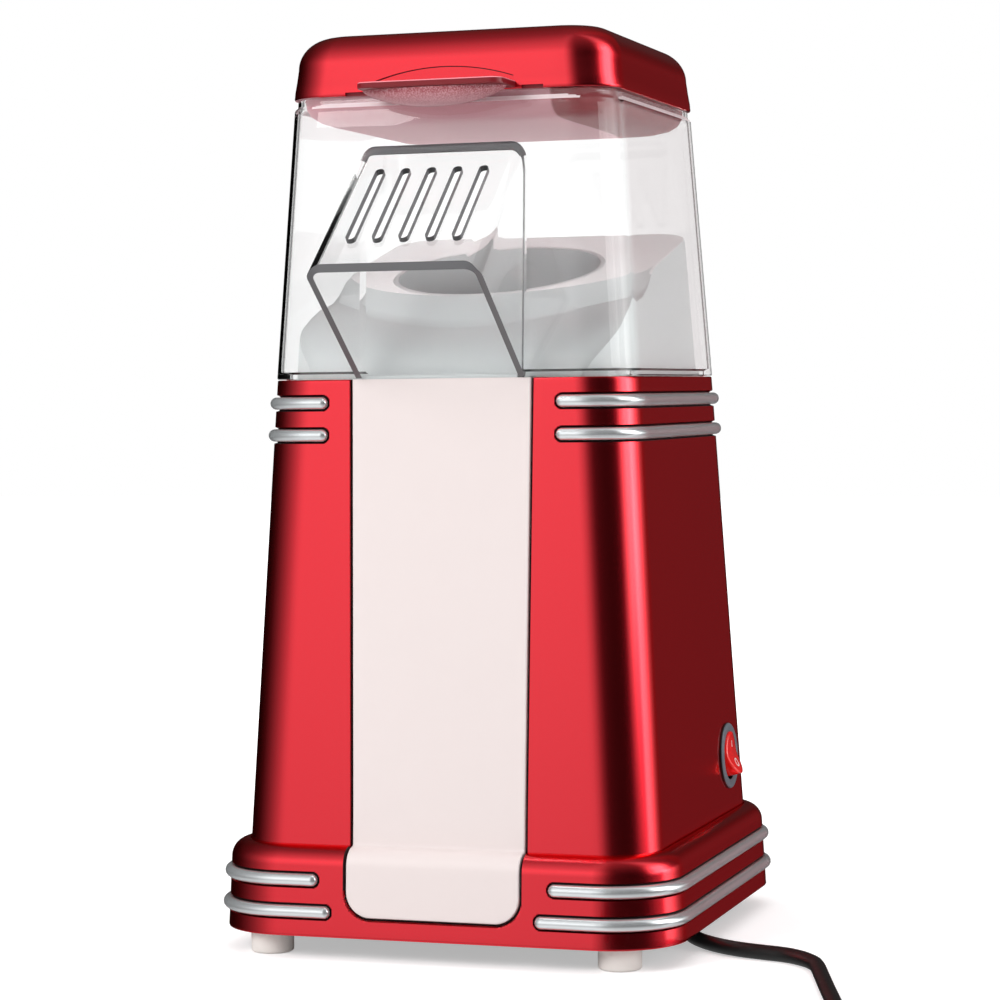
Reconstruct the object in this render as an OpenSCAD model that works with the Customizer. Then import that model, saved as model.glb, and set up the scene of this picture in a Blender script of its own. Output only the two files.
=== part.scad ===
// Hot-air popcorn maker: a square, tapering tower on a stepped base. A motor in the base drives a
// fan, the air passes a heater into an aluminium drum, and the popcorn leaves over a sloped deck
// and a slide under the chute hood. The clear cover lifts off, and a cup closes it at the top.

/* [Base] */
// Half of the width across the base at its lower edge
base_half = 80; // [78:0.5:84]
// Corner radius of the base
base_corner_r = 24.9; // [20:0.1:28]
// Height of the feet under the base
foot_h = 7.5; // [6:0.5:10]
// Height at which the side of the base starts to round inwards
base_side_top = 31; // [30.5:0.1:31.5]
// Radius of the rounded shoulder of the base
base_round_r = 6.2; // [6:0.1:6.4]
// Wall thickness of base and body
wall = 2.7; // [2.6:0.1:3]

/* [Body] */
// Half of the body's width where it enters the base
body_low_half = 72.06; // [71.5:0.02:72.1]
// Half of the body's width at its top edge
body_top_half = 63.66; // [63:0.02:64]
// Height of the body's top edge
body_top = 191.8; // [188:0.2:196]
// Corner radius of the body
body_corner_r = 17.4; // [15:0.1:20]

/* [Cover and cap] */
// Height of the cover's shoulder, where its neck starts
cover_top = 283; // [280:0.5:286]
// Half of the cover's width at its shoulder
cover_top_half = 57.9; // [57:0.1:59]
// Wall thickness of the clear parts
clear_wall = 2; // [1.8:0.1:2.2]
// Height of the top of the cap
cap_top = 307.7; // [305:0.5:312]
// Half of the cap's width at its lower edge
cap_half = 56.9; // [56:0.1:57.5]
// Reach of the cap's tab in front of the body's axis
tab_reach = 74.6; // [70:0.1:78]

/* [Chute] */
// Half of the width across the chute hood
hood_half = 29.4; // [28:0.1:30]
// Reach of the hood's front edge in front of the body's axis
hood_reach = 109.4; // [104:0.1:112]
// Height of the hood's top plate where it leaves the cover
hood_top = 269.2; // [266:0.1:271]
// Height of the hood's top plate at its front edge
hood_front_z = 228.2; // [224:0.1:232]

/* [Front panel and trims] */
// Half of the panel's width at its top
panel_top_half = 31.2; // [30:0.1:32]
// Half of the panel's width on the base
panel_low_half = 30; // [28:0.1:31]
// Lower edge of the panel
panel_bottom = 14.5; // [13:0.1:16]
// Radius of the trim strips, half round
trim_r = 2.05; // [1.8:0.05:2.2]
// Heights of the trim strips: base lower, base upper, body lower, body upper
trim_z = [15.8, 26.3, 173.2, 184];
// Half of the open gap of each trim strip at the front, in the same order
trim_gap = [35.5, 40, 39.9, 39.9];

/* [Popping drum and fan] */
// Inner radius of the aluminium popping drum
drum_r = 35; // [34:0.1:36]
// Floor of the drum
drum_floor = 92; // [90:0.5:94]
// Radius of the fan
fan_r = 38; // [34:0.5:40]
// Number of fan blades
fan_blades = 12; // [8:1:16]
// Radius of the motor's shaft
shaft_r = 1.5; // [1:0.1:2]

/* [Switch and cord] */
// Radius of the switch's bezel
bezel_r = 11.75; // [11:0.05:12.5]
// Distance of the switch behind the body's axis
switch_y = 38.4; // [34:0.1:42]
// Height of the switch
switch_z = 56.7; // [52:0.1:62]
// Diameter of the power cord
cord_d = 5; // [4.5:0.1:5.2]

/* [Hidden] */
$fn = 64;
eps = 0.01;
lap = 0.002;
corner_steps = 8;
red = "#d8283c";
cream = "#eee6dc";
clear = [0.9, 0.93, 0.95, 0.35];

// Slopes and the half-widths that follow from them, as functions of height
base_top = base_side_top + base_round_r;
body_slope = (body_low_half - body_top_half) / (body_top - base_top);
base_side_half = base_half - 1.3;
base_slope = (base_half - base_side_half) / (base_side_top - foot_h);
cover_low_half = body_top_half + 0.08;
cover_slope = (cover_low_half - cover_top_half) / (cover_top - body_top);
function body_half(z) = body_low_half - body_slope * (z - base_top);
function base_side(z) = base_half - base_slope * (z - foot_h);
function cover_half(z) = cover_low_half - cover_slope * (z - body_top);

// The appliance's middle in depth lies in front of the body's axis, because the hood reaches out
rear_reach = base_side(trim_z[0]) + trim_r;
axis_y = (hood_reach - rear_reach) / 2;
module on_axis() translate([0, axis_y, 0]) children();

function reversed(list) = [for (i = [len(list) - 1:-1:0]) list[i]];

// One rounded square of half-width h and corner radius r at height z, anticlockwise
function ring(h, r, z) = [for (q = [0:3], i = [0:corner_steps])
    let (a = 90 * (q + i / corner_steps), c = h - r)
    [(q == 0 || q == 3 ? c : -c) + r * cos(a), (q < 2 ? c : -c) + r * sin(a), z]];

// Solid through a list of rings, each with the same number of points
module loft(rings) {
    n = len(rings[0]);
    last = (len(rings) - 1) * n;
    sides = [for (k = [0:len(rings) - 2], i = [0:n - 1]) let (a = k * n + i, b = k * n + (i + 1) % n)
        each [[a, a + n, b + n], [a, b + n, b]]];
    floor_face = [[for (i = [0:n - 1]) i]];
    roof_face = [[for (i = [n - 1:-1:0]) last + i]];
    polyhedron([for (one = rings) each one], concat(floor_face, sides, roof_face));
}

// Tapering tower between two heights, inset by a wall
module tower(z0, h0, z1, h1, r, inset = 0) {
    loft([ring(h0 - inset, r - inset, z0), ring(h1 - inset, r - inset, z1)]);
}

// A cross-section carried round the outside of a rounded square, from the gap at the front on one
// side round the back to the other. The children are 2D: x outwards from the surface, y up.
module wrap(h, r, gap) {
    flat = h - r;
    for (turn = [0, 90, 180, 270]) rotate(turn) {
        translate([flat, flat, 0]) rotate_extrude(angle = 90) translate([r, 0]) children();
        if (turn < 270)
            translate([h, 0, 0]) rotate([90, 0, 0]) linear_extrude(2 * (flat + lap), center = true) children();
        else
            for (side = [-1, 1]) translate([h, side * (flat + gap + lap) / 2, 0])
                rotate([90, 0, 0]) linear_extrude(flat - gap + lap, center = true) children();
    }
}

// The children at both front ends of such a strip, with x outwards
module at_ends(h, gap) {
    for (side = [-1, 1]) rotate(270) translate([h, side * gap, 0]) children();
}

// Slot outline from the origin along +y, with round ends
module stadium(long, wide) {
    translate([-wide / 2, wide / 2]) square([wide, long - wide]);
    for (y = [wide / 2, long - wide / 2]) translate([0, y]) circle(d = wide);
}

// Outline in the plane of front distance and height, carried across the width
module across(width) {
    rotate([90, 0, -90]) linear_extrude(width, center = true) children();
}

// ---- Trim strips and the grooves they lie in ----
trim_deep = 1.2;
trim_side_gap = 0.7;
trim_half = [base_side(trim_z[0]), base_side(trim_z[1]), body_half(trim_z[2]), body_half(trim_z[3])];
trim_corner = [base_corner_r - 1, base_corner_r - 1, body_corner_r, body_corner_r];

trim_steps = 10;
trim_round = [0:25:75];
trim_play = 0.15;
trim_chord = acos((trim_play - trim_deep) / trim_r);

// Section of strip k at a plan point, facing out at an angle and made smaller by a scale. It is an
// arc of a circle, closed by the chord that lies in the groove.
function trim_section(k, xy, out, size) = [for (i = [0:trim_steps])
    let (a = 90 + trim_chord * (2 * i / trim_steps - 1), far = size * trim_r * sin(a))
    [xy[0] + far * cos(out), xy[1] + far * sin(out), trim_z[k] + size * trim_r * cos(a)]];

module trim(k) {
    h = trim_half[k];
    r = trim_corner[k];
    start = trim_gap[k] + trim_r;
    right_end = [for (a = reversed([for (b = trim_round) b]))
        trim_section(k, [start - trim_r * sin(a), -h], -90, cos(a))];
    corners = [for (q = [0:3], i = [0:corner_steps])
        let (a = 90 * (q - 1 + i / corner_steps), c = h - r, x = q < 2 ? c : -c, y = q == 0 || q == 3 ? -c : c)
        trim_section(k, [x + r * cos(a), y + r * sin(a)], a, 1)];
    left_end = [for (a = trim_round) trim_section(k, [trim_r * sin(a) - start, -h], -90, cos(a))];
    color("gainsboro") on_axis() loft(concat(right_end, corners, left_end));
}

module trim_groove(k) {
    start = trim_gap[k] + trim_r;
    tall = trim_r + trim_side_gap;
    translate([0, 0, trim_z[k]]) {
        wrap(trim_half[k], trim_corner[k], start)
            translate([-trim_deep, -tall]) square([trim_deep + trim_r, 2 * tall]);
        at_ends(trim_half[k], start)
            translate([-trim_deep, 0, 0]) rotate([0, 90, 0]) cylinder(r = tall, h = trim_deep + trim_r);
    }
}

module base_trim_lower() trim(0);
module base_trim_upper() trim(1);
module body_trim_lower() trim(2);
module body_trim_upper() trim(3);

// ---- Front panel: a strip down the body that ends as a rounded spoon over the base ----
panel_thick = 1.6;
panel_gap = 1;
panel_corner_r = 8.5;
panel_low_z = 50;

// Line down the front of body and base at a depth under their surface, as [distance, height]
function front_line(deep) = concat(
    [[body_half(body_top + 2) - deep, body_top + 2], [body_half(base_top) - deep, base_top]],
    [for (a = [90:-15:0]) [base_side_half - base_round_r + (base_round_r - deep) * cos(a),
        base_side_top + (base_round_r - deep) * sin(a)]],
    [[base_side(foot_h) - deep, foot_h]]);

// Front view of the panel, made larger all round by grow
module panel_outline(grow, top) {
    low = panel_low_half + grow;
    r = panel_corner_r + grow;
    bottom = panel_bottom - grow;
    right = concat([for (a = [-90:15:0]) [low - r + r * cos(a), bottom + r + r * sin(a)]],
        [[low, panel_low_z], [panel_top_half + grow, top]]);
    polygon(concat(right, [for (p = reversed(right)) [-p[0], p[1]]]));
}

// The panel's band between two lines down the front, or all that lies in front of its back
module panel_block(grow, top, front) {
    intersection() {
        across(3 * panel_top_half) polygon(concat(front, reversed(front_line(panel_thick))));
        rotate([90, 0, 0]) linear_extrude(2 * base_half) panel_outline(grow, top);
    }
}

module panel_pocket() {
    panel_block(panel_gap, body_top + 2, [[base_half + 5, body_top + 2], [base_half + 5, foot_h]]);
}

module front_panel() {
    color(cream) on_axis() panel_block(0, body_top, front_line(0));
}

// ---- Base ----
ledge_z = base_side_top + 2.5;
ledge_half = 67;
plate_z = foot_h + 0.5;
plate_thick = 2.5;
plate_top = plate_z + plate_thick;
base_screw_xy = [30, 70];
base_screw_r = 1.4;
base_boss_r = 4;
body_gap = 0.35;

module mirrored_xy(xy) {
    for (sx = [-1, 1], sy = [-1, 1]) translate([sx * xy[0], sy * xy[1], 0]) children();
}

module base_housing() {
    shoulder = [for (a = [0:15:90]) let (h = base_side_half - base_round_r * (1 - cos(a)))
        ring(h, base_corner_r - (base_half - h), base_side_top + base_round_r * sin(a))];
    color(red) on_axis() {
        difference() {
            loft(concat([ring(base_half, base_corner_r, foot_h)], shoulder));
            tower(foot_h - 1, base_half, base_side_top, base_side_half, base_corner_r, wall);
            tower(base_side_top - 1, ledge_half, ledge_z + 1, ledge_half, body_corner_r);
            tower(ledge_z, body_half(ledge_z) + body_gap, base_top + 1, body_half(base_top + 1) + body_gap,
                body_corner_r + body_gap);
            trim_groove(0);
            trim_groove(1);
            panel_pocket();
        }
        mirrored_xy(base_screw_xy) difference() {
            translate([0, 0, plate_top]) cylinder(r = base_boss_r, h = base_side_top - plate_top);
            cylinder(r = base_screw_r, h = base_side_top - 6);
        }
    }
}

foot_r = 7.2;
foot_xy = [60.75, 68.1];
module feet() {
    color(cream) on_axis() mirrored_xy(foot_xy) {
        translate([0, 0, 1]) cylinder(r = foot_r, h = plate_z - 1);
        rotate_extrude() {
            square([foot_r - 1, 1.5]);
            translate([foot_r - 1, 1]) circle(1);
        }
    }
}

// Recess in the bottom plate in which the cord's strain relief lies, open downwards
recess_x = [58.5, 71.5];
recess_y = [10, 46];
recess_z = 20;
recess_wall = 1.6;
grille_r = 38;
grille_pitch = 6;
grille_slot = 3;
post_xy = [[-64, 57], [-50, 57]];
post_r = 2.6;
post_top = 14.5;

module bottom_plate() {
    half = base_side(plate_top) - wall - 0.1;
    rim_r = base_corner_r - wall;
    color("dimgray") on_axis() difference() {
        union() {
            tower(plate_z, half, plate_top, half, rim_r);
            translate([recess_x[0] - recess_wall, recess_y[0] - recess_wall, plate_z])
                cube([recess_x[1] - recess_x[0] + 2 * recess_wall,
                    recess_y[1] - recess_y[0] + 2 * recess_wall, recess_z + recess_wall - plate_z]);
            for (p = post_xy) translate([p[0], p[1], plate_z]) cylinder(r = post_r, h = post_top - plate_z);
        }
        translate([recess_x[0], recess_y[0], 0])
            cube([recess_x[1] - recess_x[0], recess_y[1] - recess_y[0], recess_z]);
        translate([relief_x, recess_y[1] - 1, relief_z]) rotate([-90, 0, 0]) cylinder(r = relief_neck_r, h = 4);
        for (k = [-6:6]) let (x = k * grille_pitch, long = 2 * sqrt(grille_r * grille_r - x * x))
            translate([x, -long / 2, 0]) linear_extrude(2 * plate_top) stadium(long, grille_slot);
        mirrored_xy(base_screw_xy) {
            cylinder(r = base_screw_r, h = 2 * plate_top);
            translate([0, 0, plate_z - 1]) cylinder(r = screw_head_r, h = 2.5);
        }
    }
}

screw_head_r = 3.3;
// Round-head screw with its head at the origin and its shank along +z
module screw(shank_r, long, head_r, head_h) {
    color("silver") {
        difference() {
            cylinder(r = head_r, h = head_h);
            translate([0, 0, -eps]) cylinder(r = head_r * 0.45, h = head_h / 2, $fn = 6);
        }
        cylinder(r = shank_r, h = long);
    }
}

module base_screws() {
    on_axis() mirrored_xy(base_screw_xy) translate([0, 0, plate_z])
        screw(base_screw_r, 15, screw_head_r, 1.5);
}

// ---- Body ----
seat_z = 181;
seat_thick = 2.4;
seat_half = 56.5;
seat_screw_xy = [51, 48];
seat_screw_r = 1.4;
switch_tilt = atan(body_slope);

// The switch's own frame on the right face: z outwards along the face's normal
module at_switch() {
    translate([body_half(switch_z), switch_y, switch_z]) rotate([0, 90 - switch_tilt, 0]) children();
}

switch_hole_r = 10.1;
module body_shell() {
    color(red) on_axis() difference() {
        union() {
            difference() {
                tower(ledge_z, body_half(ledge_z), body_top, body_top_half, body_corner_r);
                tower(ledge_z - 1, body_half(ledge_z - 1), body_top + 1, body_half(body_top + 1),
                    body_corner_r, wall);
            }
            difference() {
                tower(seat_z - seat_thick, body_half(seat_z) - 1, seat_z, body_half(seat_z) - 1,
                    body_corner_r - 1);
                tower(0, seat_half, body_top, seat_half, body_corner_r - 6);
            }
            mirrored_xy(seat_screw_xy) translate([0, 0, seat_z - 8]) cylinder(r = 5.5, h = 8);
        }
        trim_groove(2);
        trim_groove(3);
        panel_pocket();
        at_switch() translate([0, 0, -2 * wall]) cylinder(r = switch_hole_r, h = 4 * wall);
        mirrored_xy(seat_screw_xy) translate([0, 0, seat_z - 6]) cylinder(r = seat_screw_r, h = 8);
    }
}

// ---- Cover and hood ----
cover_gap = 0.3;
skirt_half = 60.6;
skirt_corner_r = 14.6;
skirt_thick = 1.8;
skirt_low = 186;
neck_top = 286;
cap_low = 286.3;
cover_corner_r = 17;
neck_corner_r = 15.3;
hood_wall = 2.1;
hood_round_r = 5.5;
hood_tilt = atan2(hood_top - hood_front_z, hood_reach - cover_half(hood_top));
hood_foot = 64.6;
// Height of the upright front edge of the hood's top
hood_lip = 2.7;

module cover_solid(inset) {
    low = body_top + cover_gap;
    loft([ring(cover_half(low) - inset, cover_corner_r - inset, low - (inset > 0 ? 10 : 0)),
        ring(cover_top_half - inset, neck_corner_r + 0.6 - inset, cover_top - (inset > 0 ? 0.5 : 0)),
        ring(cap_half - inset, neck_corner_r - inset, cover_top + 0.7),
        ring(cap_half - 0.1 - inset, neck_corner_r - inset, neck_top + (inset > 0 ? 1 : 0))]);
}

// Cross-section of the hood or of its inside: flat on top at y = 0, straight sides below
module hood_section(half, r) {
    translate([-half, -150]) square([2 * half, 150 - r]);
    translate([-half + r, -r - 1]) square([2 * (half - r), r + 1]);
    for (side = [-1, 1]) translate([side * (half - r), -r]) circle(r);
}

module along_hood() {
    translate([0, -cover_half(hood_top), hood_top]) rotate([90 + hood_tilt, 0, 0])
        translate([0, 0, -60]) linear_extrude(160) children();
}

module hood_inside() {
    along_hood() translate([0, -hood_wall]) hood_section(hood_half - hood_wall, hood_round_r - hood_wall);
}

module clear_cover() {
    low = body_top + cover_gap;
    color(clear) on_axis() difference() {
        union() {
            cover_solid(0);
            tower(skirt_low, skirt_half, low + 0.1, skirt_half, skirt_corner_r);
        }
        difference() {
            cover_solid(clear_wall);
            tower(low - 20, body_top_half, low + 2, body_top_half, cover_corner_r);
        }
        tower(skirt_low - 1, skirt_half - skirt_thick, low + 3, skirt_half - skirt_thick,
            skirt_corner_r - skirt_thick);
        intersection() {
            hood_inside();
            translate([-hood_half, -base_half, skirt_low - 1])
                cube([2 * hood_half, base_half - 30, hood_top]);
        }
    }
}

slot_count = 5;
slot_pitch = 9;
slot_start = 13.4;
slot_long = 38.8;
slot_wide = 3.2;
module chute_hood() {
    low = body_top + cover_gap;
    color(clear) on_axis() difference() {
        intersection() {
            along_hood() hood_section(hood_half, hood_round_r);
            across(3 * hood_half) polygon([[cover_half(low), low], [hood_foot, low],
                [hood_reach, hood_front_z - hood_lip], [hood_reach, hood_top], [cover_half(hood_top), hood_top]]);
        }
        hood_inside();
        translate([0, -cover_half(hood_top), hood_top]) rotate([180 + hood_tilt, 0, 0])
            for (k = [0:slot_count - 1])
                translate([(k - (slot_count - 1) / 2) * slot_pitch, slot_start, -5])
                    linear_extrude(10) stadium(slot_long, slot_wide);
    }
}

// ---- Cap: a cup with a flat rim and a front tab ----
cap_round_r = 11;
cap_side_top = cap_top - cap_round_r;
cap_side_half = 56.6;
// Half-width and height of the cap's flared lower edge, from the bottom up
cap_flare = [[57.8, 286.3], [57.6, 289], [57.1, 292.5]];
tab_half = 25.1;
tab_z = 286.7;
tab_thick = 2.4;
tab_corner_r = 4;
thumb_r = 76;
thumb_top = 294.8;
thumb_deep = 0.8;
notch_x = [27.2, 34.6];
notch_h = 1.2;

module cap_cup() {
    rim = [for (a = [0:15:90]) let (h = cap_side_half - cap_round_r * (1 - cos(a)))
        ring(h, neck_corner_r - (cap_side_half - h) / 2, cap_side_top + cap_round_r * sin(a))];
    plug = [[42, 277.6], [47, 278.1], [50.5, 279.3], [52.9, 281.2], [54, 283.4], [54.3, 285.4], [54.3, 288]];
    bowl = [[40.5, 279.8], [45.5, 280.4], [49, 282], [51, 284.4], [51.8, 287.5], [52, 296],
        [51, 301], [48.6, 304.8], [44.4, 308.2]];
    difference() {
        union() {
            loft(concat([for (p = cap_flare) ring(p[0], neck_corner_r, p[1])], rim));
            loft([for (p = plug) ring(p[0], neck_corner_r - 2.6, p[1])]);
        }
        loft([for (p = bowl) ring(p[0], neck_corner_r - 4, p[1])]);
    }
}

module top_cap() {
    color(red) on_axis() difference() {
        union() {
            cap_cup();
            translate([0, 0, tab_z]) linear_extrude(tab_thick) {
                translate([-tab_half, -tab_reach + tab_corner_r])
                    square([2 * tab_half, tab_reach - tab_corner_r - 54]);
                translate([-tab_half + tab_corner_r, -tab_reach]) square([2 * (tab_half - tab_corner_r), 9]);
                for (side = [-1, 1]) translate([side * (tab_half - tab_corner_r), -tab_reach + tab_corner_r])
                    circle(tab_corner_r);
            }
        }
        intersection() {
            translate([0, -cap_flare[0][0] - 1, thumb_top - thumb_r]) rotate([-90, 0, 0])
                cylinder(r = thumb_r, h = 1 + thumb_deep + 0.9, $fn = 180);
            translate([-tab_half, -cap_flare[0][0] - 2, tab_z + tab_thick]) cube([2 * tab_half, 6, 10]);
        }
        for (side = [-1, 1])
            translate([side > 0 ? notch_x[0] : -notch_x[1], -cap_flare[0][0] - 1, cap_low - 1])
                cube([notch_x[1] - notch_x[0], 2.2, 1 + notch_h]);
    }
}

grip_drop = 6.1;
grip_bow_r = 55;
grip_round_r = 7.6;
grip_y = 66.4;
module tab_grip() {
    color("pink") on_axis() intersection() {
        translate([0, -base_half, tab_z - grip_drop + grip_bow_r]) rotate([-90, 0, 0])
            cylinder(r = grip_bow_r, h = base_half, $fn = 180);
        translate([0, -grip_y, tab_z + grip_round_r - grip_drop]) rotate([0, 90, 0])
            cylinder(r = grip_round_r, h = 3 * tab_half, center = true);
        translate([-tab_half, -base_half, tab_z - 20]) cube([2 * tab_half, base_half, 20]);
    }
}

// ---- Popcorn guide: sloped deck with the drum's mouth, side walls, and the slide to the chute ----
deck_rise = 0.26;
deck_mid_z = 229.5;
deck_thick = 2;
deck_front = 35;
guide_half = 58.4;
guide_slope = 0.064;
guide_wall = 1.8;
guide_corner_r = 14;
guide_flange = 2;
guide_top = 250;
mouth_r = 35.3;
collar_wall = 1.8;
collar_play = 0.1;
slide_low = [57.8, 192.6];
lip_half = 26.5;
lip_thick = 1.4;
slide_high = [deck_front, deck_mid_z - deck_rise * deck_front];
guide_floor = seat_z + guide_flange;
// Front view of the slide's shoulders: half-width and height
arch = [[54, guide_floor], [54, 193], [49.5, 207], [42.7, 212], [36, 217], [30, 222], [24, 260]];

// Everything below the sloped deck's surface raised by lift
module under_deck(lift) {
    across(3 * guide_half) polygon([
        [base_half, 0], [base_half, deck_mid_z - deck_rise * base_half + lift],
        [-base_half, deck_mid_z + deck_rise * base_half + lift], [-base_half, 0]]);
}

// Everything below the top edge of the side walls, which stands highest over the slide
wall_edge = [[base_half, 221], [6, 229.2], [-46, 242.3], [-54, 243.5], [-base_half, 243.5]];
module under_wall_edge() {
    across(3 * guide_half) polygon(concat([[base_half, 0]], wall_edge, [[-base_half, 0]]));
}

module guide_tower(inset) {
    loft([ring(guide_half - inset, guide_corner_r - inset, guide_floor - (inset > 0 ? 1 : 0)),
        ring(guide_half - inset - guide_slope * (guide_top - guide_floor), guide_corner_r - inset - 1,
            guide_top + (inset > 0 ? 1 : 0))]);
}

module popcorn_guide() {
    color("whitesmoke") on_axis() difference() {
        union() {
            difference() {
                intersection() {
                    guide_tower(0);
                    under_wall_edge();
                }
                guide_tower(guide_wall);
                translate([-54, -base_half, guide_floor]) cube([108, base_half - deck_front, 80]);
            }
            intersection() {
                guide_tower(0);
                difference() {
                    under_deck(0);
                    under_deck(-deck_thick);
                }
                translate([-base_half, -deck_front, 0]) cube([2 * base_half, 2 * base_half, guide_top]);
            }
            intersection() {
                guide_tower(0);
                across(3 * guide_half) polygon([slide_high, slide_low, [slide_low[0], guide_floor - 1],
                    [slide_low[0] - 5, guide_floor - 1], slide_high - [0, 2.6]]);
                rotate([90, 0, 0]) linear_extrude(base_half)
                    polygon(concat(arch, [for (p = reversed(arch)) [-p[0], p[1]]]));
            }
            translate([-lip_half, -body_top_half, body_top]) cube([2 * lip_half, 9, lip_thick]);
            tower(seat_z, body_half(seat_z) - wall - 0.3, guide_floor, body_half(seat_z) - wall - 0.4,
                body_corner_r - wall);
        }
        cylinder(r = mouth_r + collar_wall + collar_play, h = guide_top);
        mirrored_xy(seat_screw_xy) cylinder(r = seat_screw_r + 0.2, h = guide_top);
    }
}

// Tube that stands on the drum's flange and leads up to the deck
module mouth_collar() {
    color("white") on_axis() difference() {
        intersection() {
            cylinder(r = mouth_r + collar_wall, h = guide_top);
            under_deck(0);
        }
        cylinder(r = mouth_r, h = guide_top);
        cylinder(r = base_half, h = seat_z);
    }
}

module guide_screws() {
    on_axis() mirrored_xy(seat_screw_xy) translate([0, 0, guide_floor + 1.6])
        rotate([180, 0, 0]) screw(seat_screw_r, 9, 2.8, 1.6);
}

// ---- Popping drum and its air duct ----
drum_wall = 0.9;
drum_flange_r = 45;
drum_slots = 18;
sleeve_r = 42;
sleeve_wall = 0.8;
duct_floor = 64;
gasket_h = 2;
drum_top = seat_z;

module popping_drum() {
    color("silver") on_axis() difference() {
        rotate_extrude() {
            translate([drum_r, drum_floor]) square([drum_wall, drum_top - drum_floor]);
            translate([0, drum_floor]) square([drum_r + drum_wall, drum_wall]);
            translate([drum_r, drum_top - 1]) square([drum_flange_r - drum_r, 1]);
        }
        for (k = [0:drum_slots - 1]) rotate(360 * k / drum_slots) translate([drum_r, 0, drum_floor + 8])
            rotate([40, 0, 0]) translate([-4, -0.9, -5]) cube([8, 1.8, 10]);
    }
}

module drum_gasket() {
    color("firebrick") on_axis() translate([0, 0, drum_top - 1 - gasket_h]) difference() {
        cylinder(r = drum_flange_r - 1, h = gasket_h);
        translate([0, 0, -1]) cylinder(r = sleeve_r - sleeve_wall, h = gasket_h + 2);
    }
}

module drum_sleeve() {
    color("lightslategray") on_axis() rotate_extrude() {
        translate([sleeve_r - sleeve_wall, duct_floor])
            square([sleeve_wall, drum_top - 1 - gasket_h - duct_floor]);
        translate([sleeve_r - sleeve_wall, duct_floor]) square([4, sleeve_wall]);
    }
}

// ---- Heater ----
mica_thick = 1.2;
mica_top = 88;
mica_arch = 70;
coil_r = 27;
coil_wire_r = 1.7;
coil_z = [73, 79, 85];

module coil_rings() {
    for (z = coil_z) translate([0, 0, z]) rotate_extrude() translate([coil_r, 0]) circle(coil_wire_r);
}

module heater_former() {
    half = sleeve_r - sleeve_wall - 0.5;
    color("wheat") on_axis() difference() {
        for (turn = [0, 90]) rotate(turn) translate([-half, -mica_thick / 2, duct_floor])
            cube([2 * half, mica_thick, mica_top - duct_floor]);
        translate([0, 0, duct_floor - 1]) cylinder(r = 31, h = mica_arch - duct_floor - 3);
        coil_rings();
    }
}

module heater_coil() {
    color("rosybrown") on_axis() {
        coil_rings();
        for (turn = [40, 50]) rotate(turn) translate([coil_r, 0, duct_floor + 2])
            cylinder(r = 0.8, h = coil_z[2] - duct_floor - 2);
    }
}

thermostat_z = 120;
thermostat_turn = 200;
module thermostat() {
    color("goldenrod") on_axis() difference() {
        rotate(thermostat_turn) translate([sleeve_r - 1, 0, thermostat_z]) rotate([0, 90, 0]) {
            cylinder(r = 8, h = 6);
            cylinder(r = 5.5, h = 9);
        }
        cylinder(r = sleeve_r, h = body_top);
    }
}

fuse_turn = 160;
module thermal_fuse() {
    color("lightgray") on_axis() difference() {
        rotate(fuse_turn) translate([sleeve_r + 1.6, 0, thermostat_z - 8]) {
            cylinder(r = 2, h = 12);
            translate([0, 0, -6]) cylinder(r = 0.6, h = 24);
        }
        cylinder(r = sleeve_r, h = body_top);
    }
}

// ---- Fan and motor ----
housing_r = 46;
housing_wall = 2;
housing_flange_r = 55;
housing_roof = 2;
housing_eye_r = 30;
housing_screw_pcd = 51;
housing_screw_r = 1.3;
bracket_z = 17.8;
bracket_thick = 2;
motor_r = 14;
motor_top = 50;
motor_screw_x = 9;
shaft_low = 38;
shaft_top = 61;
shaft_gap = 0.05;
fan_floor = 52.6;
fan_blade_h = 6.4;
fan_blade_thick = 1;
fan_blade_in = 12;
fan_lean = 28;
hub_r = 7;

module fan_housing() {
    color("darkslategray") on_axis() difference() {
        rotate_extrude() {
            translate([housing_r - housing_wall, plate_top]) square([housing_wall, duct_floor - plate_top]);
            translate([housing_r - housing_wall, plate_top])
                square([housing_flange_r - housing_r + housing_wall, housing_wall]);
            translate([housing_eye_r, duct_floor - housing_roof])
                square([housing_r - housing_eye_r, housing_roof]);
        }
        for (k = [0:3]) rotate(45 + 90 * k) translate([housing_screw_pcd, 0, 0])
            cylinder(r = housing_screw_r, h = duct_floor);
    }
}

module housing_screws() {
    on_axis() for (k = [0:3]) rotate(45 + 90 * k)
        translate([housing_screw_pcd, 0, plate_top + housing_wall + 1.6])
            rotate([180, 0, 0]) screw(housing_screw_r, 3.6, 2.6, 1.6);
}

module motor_bracket() {
    reach = housing_r - housing_wall;
    color("silver") on_axis() difference() {
        intersection() {
            union() {
                translate([0, 0, bracket_z]) cylinder(r = motor_r + 2, h = bracket_thick);
                for (turn = [0, 90]) rotate(turn) translate([-reach - 1, -4, bracket_z])
                    cube([2 * reach + 2, 8, bracket_thick]);
            }
            cylinder(r = reach, h = duct_floor);
        }
        for (side = [-1, 1]) translate([side * motor_screw_x, 0, 0])
            cylinder(r = housing_screw_r, h = duct_floor);
    }
}

module motor_can() {
    color("lightgray") on_axis() difference() {
        union() {
            translate([0, 0, bracket_z + bracket_thick])
                cylinder(r = motor_r, h = motor_top - bracket_z - bracket_thick);
            cylinder(r = 4.5, h = motor_top + 1.5);
        }
        translate([0, 0, shaft_low - 1]) cylinder(r = shaft_r + shaft_gap, h = motor_top);
        for (side = [-1, 1]) translate([side * motor_screw_x, 0, 0])
            cylinder(r = housing_screw_r, h = bracket_z + bracket_thick + 5);
        cylinder(r = base_half, h = bracket_z + bracket_thick);
    }
}

module motor_screws() {
    on_axis() for (side = [-1, 1]) translate([side * motor_screw_x, 0, bracket_z - 1.6])
        screw(housing_screw_r, 6.4, 2.6, 1.6);
}

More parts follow.
